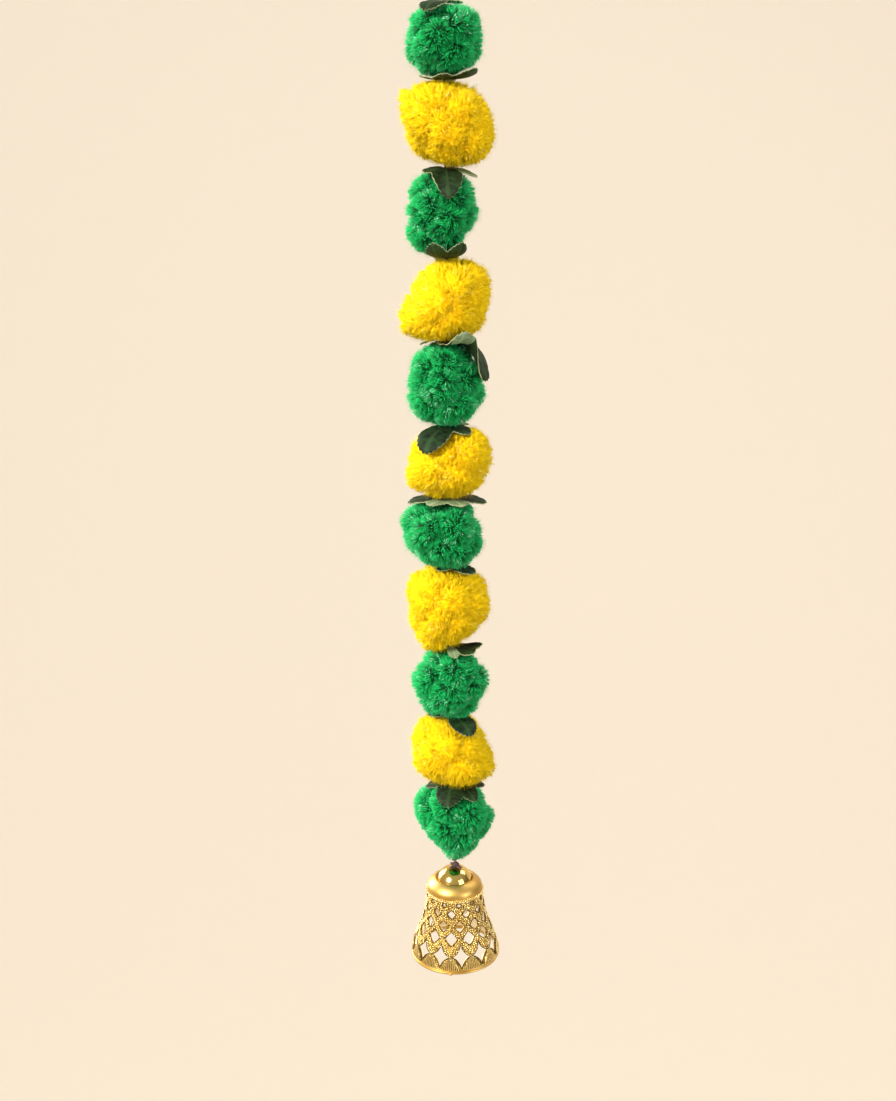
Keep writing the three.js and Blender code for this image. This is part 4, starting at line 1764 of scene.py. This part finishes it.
@dataclass
class Bell:
    """Pierced bell: crown ring, granulated lattice, ribbed fans and rim, in millimetres."""

    satin: Material
    # Lattice gold darker and grain gold paler than one plating: painted shade between the grains, painted
    # highlights on the grains, ribs and collar
    grained: Material
    bright: Material
    # Dark gold of the wires round the holes: painted shade
    dark: Material
    # Near-white gold of the inner wall and the hole walls: painted light
    painted_light_lining: Material
    columns: int = 12
    turn: float = 8.0
    wall: float = 1.2
    wall_line: tuple[Pair, ...] = (
        (16.1, 42.8), (17.0, 35.0), (18.5, 26.5), (21.2, 18.5), (24.2, 10.4), (25.9, 2.6)
    )
    rows: tuple[HoleRow, ...] = (
        HoleRow(40.2, 3.1, 2.8, False),
        HoleRow(34.8, 5.0, 5.4, True),
        HoleRow(27.4, 6.2, 7.0, False),
        HoleRow(20.4, 7.4, 8.0, True),
        HoleRow(10.4, 11.6, 13.6, False, 0.52),
    )
    point_spacing: float = 0.95
    hole_steps: int = 5
    weld: float = 0.02
    wire_radius: float = 0.24
    wire_lift: float = 0.12
    rib_radius: float = 0.36
    wire_sides: int = 5
    grain_spacing: float = 1.02
    grain_radius: float = 0.5
    grain_edge: float = 0.45
    fan_top: float = 9.4

    def radius(self, height: Array) -> Array:
        """Outer radius of the lattice wall at each height, on a soft flare."""
        radii, heights = np.array(self.wall_line[::-1]).T
        return np.interp(height, heights, radii)

    def wrapped(self, flat: Array, lift: Array | float = 0.0) -> Array:
        """Points of azimuth in degrees and height set on the bell, at a distance outside its wall."""
        azimuth, reach = np.radians(flat[:, 0] + self.turn - 90), self.radius(flat[:, 1]) + lift
        return np.stack([reach * np.cos(azimuth), reach * np.sin(azimuth), flat[:, 1] + BELL_MOUTH_Z], axis=1)

    def column(self) -> tuple[Array, list[Array]]:
        """Outline of one column between two seams along the ribbons, and its holes.

        Returns:
            The outline and the outline of each hole, as azimuth and height.
        """
        half = 180.0 / self.columns
        top, foot = self.wall_line[0][1], self.wall_line[-1][1]
        seam = [[0.0 if row.aside else -half, row.height] for row in self.rows]
        left = [[-half, top], *seam, [-half, foot]]
        right = [[azimuth + 2 * half, height] for azimuth, height in left][::-1]
        outline = np.array([*left, [0.0, foot], *right, [0.0, top]])
        holes = []
        for row in self.rows:
            degrees = 180.0 / (math.pi * float(self.radius(np.array(row.height))))
            shape = row.outline(self.hole_steps) * [degrees, 1.0]
            holes.append(shape + [half if row.aside else 0.0, row.height])
        return outline, holes

    @staticmethod
    def inside(points: Array, loop: Array) -> Array:
        """Whether each point lies inside a closed outline.

        Args:
            points: The points.
            loop: Corners of the outline.

        Returns:
            One truth value for each point.
        """
        after = np.roll(loop, -1, axis=0)
        odd = np.zeros(len(points), bool)
        for (ax, ay), (bx, by) in zip(loop, after):
            spans = (ay > points[:, 1]) != (by > points[:, 1])
            with np.errstate(divide="ignore", invalid="ignore"):
                cross = (bx - ax) * (points[:, 1] - ay) / (by - ay) + ax
            odd ^= spans & (points[:, 0] < cross)
        return odd

    def edge_distance(self, points: Array, holes: list[Array]) -> Array:
        """Distance in millimetres from each point to the nearest hole's edge.

        Args:
            points: Points as azimuth and height.
            holes: Outlines of one column's holes.

        Returns:
            One distance for each point.
        """
        scale = np.pi / 180 * self.radius(points[:, 1])
        best = np.full(len(points), 99.0)
        for hole in holes:
            for turn in (-360.0 / self.columns, 0.0, 360.0 / self.columns):
                a = hole + [turn, 0.0]
                b = np.roll(a, -1, axis=0)
                for start, end in zip(a, b):
                    rise = np.full(len(points), end[1] - start[1])
                    along = np.stack([(end[0] - start[0]) * scale, rise], 1)
                    off = np.stack([(points[:, 0] - start[0]) * scale, points[:, 1] - start[1]], 1)
                    share = np.clip((off * along).sum(1) / np.maximum((along**2).sum(1), 1e-9), 0, 1)
                    best = np.minimum(best, np.linalg.norm(off - along * share[:, None], axis=1))
        return best

    def between(self, points: Array, outline: Array, holes: list[Array]) -> Array:
        """Finds the points on the ribbons.

        Args:
            points: Points as azimuth and height.
            outline: Outline of one column.
            holes: Outlines of its holes.

        Returns:
            Whether each point lies inside the outline and in no hole.
        """
        kept = self.inside(points, outline)
        for hole in holes:
            kept &= ~self.inside(points, hole)
        return kept

    def scattered(self, outline: Array, seam: Array, holes: list[Array]) -> Array:
        """Strews points evenly over the ribbons, clear of the holes and the seams.

        Args:
            outline: Outline of one column.
            seam: The same outline with points at even steps.
            holes: Outlines of its holes.

        Returns:
            The points as azimuth and height.
        """
        lows, highs = outline.min(0), outline.max(0)
        scatter = []
        for k, height in enumerate(np.arange(lows[1] + 0.5, highs[1], self.point_spacing * 0.87)):
            step = self.point_spacing * 180 / (math.pi * float(self.radius(np.array(height))))
            turns = np.arange(lows[0] + step * (0.5 if k % 2 else 0.0), highs[0], step)
            scatter += [[turn, height] for turn in turns]
        loose = np.array(scatter)
        clear = self.edge_distance(loose, holes) > 0.35 * self.point_spacing
        reach = math.pi / 180 * self.radius(loose[:, 1])
        aside = (loose[:, None, 0] - seam[None, :, 0]) * reach[:, None]
        above = loose[:, None, 1] - seam[None, :, 1]
        near_seam = np.min(np.hypot(aside, above), axis=1) < 0.55 * self.point_spacing
        return loose[self.between(loose, outline, holes) & clear & ~near_seam]

    def lattice(self) -> Thing:
        """Lattice wall with rounded ribbons, closed inside, outside and round each hole.

        Returns:
            The lattice in one piece.
        """
        outline, holes = self.column()
        seam = self.seam_points(outline)
        points = np.concatenate([seam, *holes, self.scattered(outline, seam, holes)])
        edges = []
        for loop in (seam, *holes):
            start, size = len(edges), len(loop)
            edges += [(start + k, start + (k + 1) % size) for k in range(size)]
        made = geometry.delaunay_2d_cdt([Vector(p) for p in points], edges, [], 0, 1e-5)
        flat = np.array([list(v) for v in made[0]])
        triangles = np.array([list(f) for f in made[2]])
        triangles = triangles[self.between(flat[triangles].mean(axis=1), seam, holes)]
        corners = flat[triangles]
        first, second = corners[:, 1] - corners[:, 0], corners[:, 2] - corners[:, 0]
        backwards = first[:, 0] * second[:, 1] - first[:, 1] * second[:, 0] < 0
        triangles[backwards] = triangles[backwards][:, ::-1]
        crown = 0.55 * smooth_step(0.0, 1.5, self.edge_distance(flat, holes)) - 0.3
        return self.ring_of_columns(flat, triangles, crown, holes)

    def seam_points(self, outline: Array) -> Array:
        """The column's outline with points set at even steps, alike on both seams.

        Args:
            outline: Corners of the outline.

        Returns:
            The points.
        """
        fine = []
        for here, after in zip(outline, np.roll(outline, -1, axis=0)):
            scale = math.pi / 180 * float(self.radius(np.array((here[1] + after[1]) / 2)))
            length = math.hypot((after[0] - here[0]) * scale, after[1] - here[1])
            count = max(1, round(length / self.point_spacing))
            fine += [here + (after - here) * k / count for k in range(count)]
        return np.array(fine)

    def ring_of_columns(self, flat: Array, triangles: Array, crown: Array, holes: list[Array]) -> Thing:
        """Repeats one column round the bell and welds the columns together.

        Args:
            flat: Points of one column as azimuth and height.
            triangles: Corners of its faces.
            crown: Height of each point above the wall.
            holes: Outlines of its holes.

        Returns:
            The lattice in one piece.
        """
        places, faces, sides = [], [], []
        for k in range(self.columns):
            turned = flat + [360.0 / self.columns * k, 0.0]
            start = len(places) * len(flat)
            places += [self.wrapped(turned, crown), self.wrapped(turned, -self.wall)]
            inner = start + len(flat)
            faces += [[start + a, start + b, start + c] for a, b, c in triangles]
            faces += [[inner + c, inner + b, inner + a] for a, b, c in triangles]
            # Outer faces take the lattice gold; inner faces and hole walls take the near-white lining,
            # painted light
            sides += [0] * len(triangles) + [1] * (len(triangles) + sum(len(hole) for hole in holes))
            for hole in holes:
                numbers = [int(np.argmin(np.linalg.norm(flat - point, axis=1))) for point in hole]
                for a, b in zip(numbers, numbers[1:] + numbers[:1]):
                    faces.append([start + a, inner + a, inner + b, start + b])
        mesh = meshed("bell_lattice", np.concatenate(places), faces)
        mesh.polygons.foreach_set("material_index", sides)
        work = gathered([mesh])
        bmesh.ops.remove_doubles(work, verts=work.verts, dist=self.weld * MM)
        bmesh.ops.triangulate(work, faces=work.faces)
        put_back(work, mesh)
        return placed("bell_lattice", mesh, (self.grained, self.painted_light_lining))

    def edge_lines(self, lift: float) -> Thing:
        """Loose edges round every hole, a little outside the wall, for the dark wires that paint shade round
        the holes.

        Args:
            lift: Distance outside the wall.

        Returns:
            The edges as one object.
        """
        _, holes = self.column()
        points, edges = [], []
        for k in range(self.columns):
            for hole in holes:
                start = len(points)
                turned = hole + [360.0 / self.columns * k, 0.0]
                points += list(self.wrapped(turned, lift))
                edges += [(start + j, start + (j + 1) % len(hole)) for j in range(len(hole))]
        return placed("bell_hole_edges", meshed("bell_hole_edges", np.array(points), [], edges))

    def fan_lines(self) -> Thing:
        """Loose edges of the ribs that spread over each fan between two stars.

        Returns:
            The edges as one object.
        """
        ribs, steps, foot, top, lift = 9, 6, 2.8, 10.6, 0.42
        wide_foot, wide_top, sag, dip = 10.4, 7.4, 0.62, 1.4
        points, edges = [], []
        for k in range(self.columns):
            middle = 360.0 / self.columns * (k + 0.5)
            for rib in range(ribs):
                spread = mix(-1.0, 1.0, rib / (ribs - 1))
                height = top - (top - foot - dip) * spread * spread * sag
                start = len(points)
                line = []
                for j in range(steps + 1):
                    share = j / steps
                    away = spread * mix(wide_foot, wide_top, share**1.5)
                    line.append([middle + away, mix(foot, height, share)])
                points += list(self.wrapped(np.array(line), lift))
                edges += [(start + j, start + j + 1) for j in range(steps)]
        return placed("bell_fan_ribs", meshed("bell_fan_ribs", np.array(points), [], edges))

    def granulated(self, lattice: Thing) -> Thing:
        """Outer faces of the ribbons between the hole edges, where the grains stand.

        Args:
            lattice: The lattice.

        Returns:
            The faces as one object.
        """
        _, holes = self.column()
        work = gathered([lattice.data])
        pitch = 360.0 / self.columns
        centres = np.array([f.calc_center_median() for f in work.faces]) / MM
        normals = np.array([f.normal for f in work.faces])
        azimuth = np.degrees(np.arctan2(centres[:, 1], centres[:, 0])) - self.turn + 90
        flat = np.stack([(azimuth + pitch / 2) % pitch - pitch / 2, centres[:, 2] - BELL_MOUTH_Z], axis=1)
        outwards = (normals[:, :2] * centres[:, :2]).sum(1) > 0.3 * np.hypot(centres[:, 0], centres[:, 1])
        outer = np.hypot(centres[:, 0], centres[:, 1]) > self.radius(flat[:, 1]) - 0.5 * self.wall
        above_fan = flat[:, 1] >= self.fan_top
        inland = self.edge_distance(flat, holes) > self.grain_edge
        good = outwards & outer & above_fan & inland
        work.faces.ensure_lookup_table()
        drop = [work.faces[int(k)] for k in np.flatnonzero(~good)]
        bmesh.ops.delete(work, geom=drop, context="FACES")
        return worked("bell_grains", work)

    def collar(self) -> Thing:
        """Two rows of round grains under the crown ring.

        Returns:
            The grains as one object.
        """
        work = bmesh.new()
        for row, (reach, height, count) in enumerate(((16.75, 43.4, 84), (16.5, 42.3, 84))):
            for k in range(count):
                turn = 2 * math.pi * (k + 0.5 * row) / count
                x, y = reach * math.cos(turn) * MM, reach * math.sin(turn) * MM
                place = Matrix.Translation((x, y, (height + BELL_MOUTH_Z) * MM))
                bmesh.ops.create_icosphere(work, subdivisions=1, radius=0.6 * MM, matrix=place)
        piece = worked("bell_collar", work, (self.bright,))
        shade_smooth(piece.data)
        return piece

    def nub(self) -> Thing:
        """Small moulding mark at the front of the rim.

        Returns:
            The mark.
        """
        azimuth = math.radians(-97)
        turns = np.linspace(-0.055, 0.055, 7) + azimuth
        path = [(25.9 * math.cos(t), 25.9 * math.sin(t), BELL_MOUTH_Z + 0.25) for t in turns]
        radii = 0.75 * np.sqrt(np.clip(1 - (np.linspace(-1, 1, 7) * 0.97) ** 2, 0, 1)) + 0.1
        return placed("bell_nub", tube_mesh("bell_nub", np.array(path), radii, 8), (self.satin,))

    def build(self) -> list[Thing]:
        """Makes all parts of the bell and puts them in the place of its solid.

        Returns:
            The parts.
        """
        outside = [(16.1, 42.6), (16.45, 44.6), (15.9, 47.0), (14.0, 49.3), (11.5, 50.9)]
        inside = [(10.8, 50.55), (11.15, 49.3), (13.1, 48.2), (14.9, 44.6), (14.9, 42.6)]
        lip = [(25.9, 3.0), (26.15, 2.6), (25.95, 2.2), (25.4, 1.9), (25.6, 1.5), (26.25, 1.2), (26.3, 0.4)]
        lip += [(25.9, 0.0), (25.2, 0.05), (24.8, 2.7)]
        parts = []
        for name, profile, *steps in (("bell_crown", outside + inside, 96, 4), ("bell_rim", lip, 120, 2)):
            parts.append(placed(name, lathe_mesh(name, profile, *steps), (self.satin,)))
            parts[-1].data.transform(Matrix.Translation((0, 0, BELL_MOUTH_Z * MM)))
        lattice = self.lattice()
        wires = wire_tree()
        # Dark wires round the holes: painted shade at the hole edges
        wire = {"Radius": self.wire_radius * MM, "Sides": self.wire_sides, "Finish": self.dark}
        edges = grown(self.edge_lines(self.wire_lift), wires, wire)
        # Fan ribs in the paler grain gold: painted highlights
        wire = {"Radius": self.rib_radius * MM, "Sides": self.wire_sides, "Finish": self.bright}
        ribs = grown(self.fan_lines(), wires, wire)
        grain = {"Spacing": self.grain_spacing * MM, "Radius": self.grain_radius * MM, "Seed": 5}
        grains = grown(self.granulated(lattice), granule_tree(), {**grain, "Finish": self.bright})
        parts += [lattice, edges, ribs, grains, self.collar(), self.nub()]
        for part in parts:
            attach(part, BELL)
        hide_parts("bell")
        return parts


@dataclass
class Bead:
    """Polished bead with its bore, in millimetres."""

    finish: Material
    radius: float = BEAD_RADIUS
    bore: float = 1.05
    steps: int = 40
    segments: int = 80

    def build(self) -> Thing:
        """Turns the bead and puts it in the place of its solid.

        Returns:
            The bead.
        """
        start = math.asin(self.bore / self.radius)
        angles = np.linspace(start, math.pi - start, self.steps)
        profile = [(self.radius * math.sin(a), BEAD_Z + self.radius * math.cos(a)) for a in angles]
        mesh = lathe_mesh("bead_polished", profile, self.segments, 1)
        piece = placed("bead_polished", mesh, (self.finish,))
        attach(piece, BEAD_DROP)
        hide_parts("bead")
        return piece


@dataclass
class Threads:
    """Stringing thread, its loop and knots, and the bell's own thread, in millimetres."""

    finish: Material
    ply_radius: float = 0.42
    ply_offset: float = 0.36
    pitch: float = 4.2
    loop_swing: float = 9.0
    loop_start: float = 0.08
    bell_cord_stoutness: float = 1.22

    def loop_path(self, count: int) -> Array:
        """Centre line of the hanging loop, from the top knot round to it again.

        Args:
            count: Number of points.

        Returns:
            The points.
        """
        turns = np.linspace(self.loop_start, 1 - self.loop_start, count) * math.pi
        rise = (THREAD_RADIUS - TOP_KNOT_Z) * (1 - np.cos(2 * turns)) / 2
        across = self.loop_swing * np.sin(2 * turns) * np.sin(turns)
        return np.stack([across, np.zeros(count), TOP_KNOT_Z + rise], axis=1)

    def plies(self, name: str, path: Array, count: int, stout: float = 1.0) -> Thing:
        """Twisted plies along a path, stouter by a factor.

        Args:
            name: Name of the piece.
            path: Points of the centre line.
            count: Number of plies.
            stout: Factor on the plies' radius and on their offset.

        Returns:
            The plies in one piece.
        """
        steps = np.linalg.norm(np.diff(path, axis=0), axis=1)
        length = np.concatenate([[0], np.cumsum(steps)])
        fine = np.linspace(0, length[-1], max(8, int(length[-1] / 0.9)))
        centre = np.stack([np.interp(fine, length, path[:, k]) for k in range(3)], axis=1)
        tangents = np.gradient(centre, axis=0)
        tangents /= np.linalg.norm(tangents, axis=1)[:, None]
        side = np.cross(tangents, [0.0, 1.0, 0.0])
        side /= np.linalg.norm(side, axis=1)[:, None]
        other = np.cross(tangents, side)
        parts = []
        for k in range(count):
            turn = 2 * math.pi * (fine / self.pitch + k / count)
            offset = stout * self.ply_offset * (np.cos(turn)[:, None] * side + np.sin(turn)[:, None] * other)
            mesh = tube_mesh(f"{name}_{k}", centre + offset, stout * self.ply_radius, 6)
            parts.append(placed(f"{name}_{k}", mesh, (self.finish,)))
        return joined(name, parts)

    def knot(self, name: str, z: float, ring: float, wrap: float, radius: float) -> Thing:
        """Ties a tight overhand knot about the thread.

        Args:
            name: Name of the knot.
            z: Its height.
            ring: Radius of its turns about the thread.
            wrap: How far the turns cross each other.
            radius: Radius of the knotted thread.

        Returns:
            The knot.
        """
        turns = np.linspace(0, 2 * math.pi, 72)
        reach = ring + wrap * np.cos(3 * turns)
        height = z + 1.25 * wrap * np.sin(3 * turns)
        path = np.stack([reach * np.cos(2 * turns), reach * np.sin(2 * turns), height], axis=1)
        return placed(name, tube_mesh(name, path, radius, 8), (self.finish,))

    def tails(self) -> list[Thing]:
        """Cut ends of the knot on the bead, lying over the bead's front.

        Returns:
            The ends.
        """
        made = []
        for number, (start, end, low) in enumerate(((-70, -48, 63), (-30, -38, 64), (-110, -126, 66))):
            share = np.linspace(0, 1, 12)
            azimuth = np.radians(mix(start, end, share))
            up = np.radians(mix(86, low, share))
            reach = BEAD_RADIUS + 0.62 + 0.5 * np.sin(math.pi * share) + 1.0 * share**3
            x, y = reach * np.cos(up) * np.cos(azimuth), reach * np.cos(up) * np.sin(azimuth)
            path = np.stack([x, y, BEAD_Z + reach * np.sin(up)], axis=1)
            name = f"knot_tail_{number}"
            made.append(placed(name, tube_mesh(name, path, 0.5, 6), (self.finish,)))
        return made

    def build(self) -> list[Thing]:
        """Makes the loop, the strand's thread and the bell's thread.

        Returns:
            All pieces of thread.
        """
        loop = self.plies("hanging_loop", self.loop_path(120), 2)
        straight = np.array([[0, 0, TOP_KNOT_Z], [0, 0, STOP_KNOT_Z + 0.2]], float)
        line = self.plies("strand_line", straight, 2)
        top = self.knot("top_knot", TOP_KNOT_Z, 1.15, 0.75, 0.7)
        foot = self.knot("stop_knot", STOP_KNOT_Z, 0.75, 0.45, 0.5)
        strand = joined("strand_thread", [line, top, foot])
        bead_top, bead_foot = BEAD_Z + BEAD_RADIUS, BEAD_Z - BEAD_RADIUS
        start, end = STOP_KNOT_Z - 1.9, bead_foot - 10
        drop = np.array([[0, 0, z] for z in np.linspace(start, end, 18)])
        cord = self.plies("bell_cord", drop, 3, self.bell_cord_stoutness)
        upper = self.knot("bead_knot", bead_top + 0.3, 1.6, 0.7, 0.8)
        upper = joined("bead_knot", [upper, *self.tails()])
        lower = self.knot("bell_knot", bead_foot - 2.2, 1.2, 0.7, 0.6)
        for piece in (loop, strand):
            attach(piece, STRAND)
        for piece in (cord, upper, lower):
            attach(piece, BEAD_DROP)
        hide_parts("thread")
        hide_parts("bell_thread")
        pieces = [loop, strand, cord, upper, lower]
        self.declare(loop, cord, [upper, lower], drop)
        return pieces

    def declare(self, loop: Thing, cord: Thing, knots: list[Thing], drop: Array) -> None:
        """Takes the free threads, the hanging loop and the bell's thread, and does nothing with them.

        Args:
            loop: The hanging loop, not used.
            cord: The bell's thread, not used.
            knots: The knots on the bell's thread, not used.
            drop: Centre line of the bell's thread, not used.
        """


@dataclass
class Studio:
    """Plain pale backdrop, soft lights and the camera, in metres and degrees."""

    eye: Spot = (-0.0013, -0.826, -0.076)
    target: Spot = (0.0, 0.0, -0.3)
    pitch: float = 17.5
    roll: float = -0.77
    focal_px: float = 1550.0
    frame_px: tuple[int, int] = (896, 1101)
    sensor_mm: float = 24.0
    wall_colour: str = "c5bcae"
    far_colour: str = "f5e5cd"

    def camera(self) -> None:
        """Sets the camera at the photograph's viewing angle."""
        data = bpy.data.cameras.new("camera")
        data.sensor_fit = "VERTICAL"
        data.sensor_height = self.sensor_mm
        data.lens = self.focal_px / self.frame_px[1] * self.sensor_mm
        data.clip_start, data.clip_end = 0.01, 20
        thing = linked("camera", data)
        aim = Euler((math.radians(90 - self.pitch), 0, 0)).to_matrix()
        turned = aim @ Matrix.Rotation(math.radians(self.roll), 3, "Z")
        thing.matrix_world = Matrix.Translation(self.eye) @ turned.to_4x4()
        bpy.context.scene.camera = thing

    def backdrop(self) -> None:
        """Pale wall far behind the strand, on a floor below the view."""
        floor_z, wall_y, bend, steps = -2.6, 2.0, 0.3, 12
        half_width, wall_top = 7.0, 1.6
        line = [(-half_width, floor_z), (wall_y - bend, floor_z)]
        for k in range(1, steps + 1):
            angle = math.pi / 2 * k / steps
            line.append((wall_y - bend + bend * math.sin(angle), floor_z + bend - bend * math.cos(angle)))
        line.append((wall_y, wall_top))
        points = [(x, y, z) for x in (-half_width, half_width) for y, z in line]
        count = len(line)
        faces = [(k, count + k, count + k + 1, k + 1) for k in range(count - 1)]
        mesh = bpy.data.meshes.new("backdrop")
        mesh.from_pydata(points, [], faces)
        shade_smooth(mesh)
        finish = PlainFinish("backdrop", self.wall_colour).material()
        placed("backdrop", mesh, (finish,))

    def lamp(self, name: str, place: Spot, size: Pair, power: float, spread: float = 180.0) -> None:
        """One soft white area light that faces the middle of the strand.

        Args:
            name: Name of the light.
            place: Where it stands.
            size: Its width and height.
            power: Its power in watts.
            spread: Angle of its beam in degrees.
        """
        data = bpy.data.lights.new(name, "AREA")
        data.shape = "RECTANGLE"
        data.size, data.size_y = size
        data.energy = power
        data.spread = math.radians(spread)
        thing = linked(name, data)
        thing.location = place
        thing.rotation_euler = (Vector(self.target) - Vector(place)).to_track_quat("-Z", "Y").to_euler()

    @staticmethod
    def sunlight(way: Spot, strength: float, softness: float, tint: str) -> None:
        """One distant light that shines from a direction, soft by the angle it fills in degrees.

        Args:
            way: Direction from which it shines.
            strength: Its strength.
            softness: The angle that it fills.
            tint: Its colour as a hex code.
        """
        data = bpy.data.lights.new("key", "SUN")
        data.energy = strength
        data.angle = math.radians(softness)
        data.color = srgb(tint)[:3]
        thing = linked("key", data)
        thing.rotation_euler = Vector(way).to_track_quat("Z", "Y").to_euler()

    def build(self) -> None:
        """Sets the view, the backdrop and the lights."""
        self.camera()
        self.backdrop()
        self.sunlight((-0.62, -0.62, 0.56), 5.1, 20.0, "fffaf4")
        self.lamp("fill", (1.3, -1.3, -0.1), (1.0, 1.4), 17)
        self.lamp("rim", (0.9, 0.4, 0.6), (0.5, 0.9), 7)
        self.lamp("back", (-1.6, 1.3, 0.1), (1.0, 1.4), 12, spread=80.0)
        world = bpy.data.worlds.new("world")
        world.use_nodes = True
        graph = Graph(world.node_tree)
        way = graph.add("ShaderNodeTexCoord").outputs["Generated"]
        lit = graph.vector("DOT_PRODUCT", way, (-0.45, -0.25, 0.85))
        glow = graph.blend(graph.span(lit, -0.7, 0.9), srgb("8c847a"), srgb("ffffff"))
        seen = graph.add("ShaderNodeLightPath").outputs["Is Camera Ray"]
        background = world.node_tree.nodes["Background"]
        graph.feed(background.inputs[0], graph.blend(seen, glow, srgb(self.far_colour)))
        graph.feed(background.inputs[1], graph.span(seen, 0.0, 1.0, 0.5, 1.0))
        bpy.context.scene.world = world
        bpy.context.scene.view_settings.view_transform = "Standard"


def dress_hidden_nodes(frame: dict, thread: Material) -> None:
    """Gives the binding turns inside the pompoms the thread's finish.

    Args:
        frame: The loaded frame.
        thread: Material of the thread.
    """
    for name, node in frame["nodes"].items():
        if name.startswith("tie_"):
            node.data.materials.clear()
            node.data.materials.append(thread)


def report(piece: Thing) -> None:
    """Reports a finished piece."""
    LOG.info("%s: %d faces", piece.name, len(piece.data.polygons))


def main() -> None:
    """Builds every piece of the strand round the frame."""
    logging.basicConfig(level=logging.INFO, format="%(message)s")
    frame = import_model()
    Studio().build()
    yarn_shade_group()
    fine_grain_group()
    # Root colours paint shade into the yarn; tip and pale colours paint light on the fibre ends
    yarns = {
        Yarn.GREEN: YarnFinish("green_yarn", "022e15", "069c47", "2bcb74", "93dfb4", 0.19, "66d896"),
        Yarn.YELLOW: YarnFinish("yellow_yarn", "ffd60c", "ffd80c", "ffd824", "ffee7a", 0.14, "ffdc1c"),
    }
    yarns = {yarn: finish.material() for yarn, finish in yarns.items()}
    dark_face = ClothFinish("leaf_dark_face", "1c3614", "0b1407", "3c5a30", 0.62, 0.3).material()
    pale_face = ClothFinish("leaf_pale_face", "7f9670", "63784f", "b3c19c", 0.75, 0.35).material()
    cut_edge = ClothFinish("leaf_cut_edge", "a3a67c", "7f8660", "a3a67c", 0.8, 0.0).material()
    cloth = (dark_face, pale_face, cut_edge)
    thread = ThreadFinish("brown_thread", "5c3424", "27120b").material()
    satin = GoldFinish("satin_gold", "e0c074", "c29a4c", 0.36, 60.0).material()
    # Darker lattice gold is painted shade between the grains; the paler grain gold is painted highlight on
    # grains, ribs and collar
    grained = GoldFinish("grained_gold", "b8964a", "6e5222", 0.42, 500.0, 0.6).material()
    # Dark wires round the holes: painted shade
    dark = GoldFinish("hole_edge_gold", "634818", "33230b", 0.45, 500.0).material()
    bright = GoldFinish("grain_gold", "ffe8a2", "f2d07c", 0.25, 300.0).material()
    # Inner wall and hole walls near white: painted light, so the inside looks bright through the holes
    painted_light_lining = GoldFinish("inner_gold", "fff2cc", "f4dfae", 0.6, 200.0).material()
    mirror = GoldFinish("mirror_gold", "f0cd74", "e2b858", 0.12, 40.0).material()

    forms = yarn_forms()
    above = [forms[0].above_its_top(), *forms]
    leaves = []
    for index, lobes in enumerate(LEAVES):
        cut = LEAF_CUTS.get(index + 1, {})
        leaf = LeafPiece(index + 1, lobes, forms[index], above[index], cloth, **cut)
        piece = leaf.build()
        leaves.append((leaf, piece))
        report(piece)

    tree = TuftTree().graph.tree
    fibres = (
        placed("pointed_fibre", fibre_mesh("pointed_fibre", (0.0, 0.12), (1.0, 0.99))),
        placed("blunt_fibre", fibre_mesh("blunt_fibre", (0.9, 0.84), (0.0, 0.12))),
    )
    pompoms = []
    for index, form in enumerate(forms):
        close = [leaves[k][1].data for k in (index, index + 1) if k < len(leaves)]
        target = worked("near_leaves", gathered(close))
        cut = TUFTS[form.yarn]
        if index == len(forms) - 1:
            cut = replace(cut, tail=2.2, lean=0.24, stray=0.16, unevenness=0.2, long_extra=0.24)
        piece = Pompom(form, cut, yarns[form.yarn]).build(tree, fibres, target)
        pompoms.append(piece)
        bpy.data.objects.remove(target)
        report(piece)
    for fibre in fibres:
        bpy.data.objects.remove(fibre)
    for index, (leaf, piece) in enumerate(leaves):
        on = [pompoms[k].name for k in (index, index - 1) if k >= 0]
        leaf.declare(piece, on)

    bell = Bell(satin, grained, bright, dark, painted_light_lining)
    for piece in [*Threads(thread).build(), Bead(mirror).build(), *bell.build()]:
        report(piece)
    dress_hidden_nodes(frame, thread)


if __name__ == "__main__":
    main()
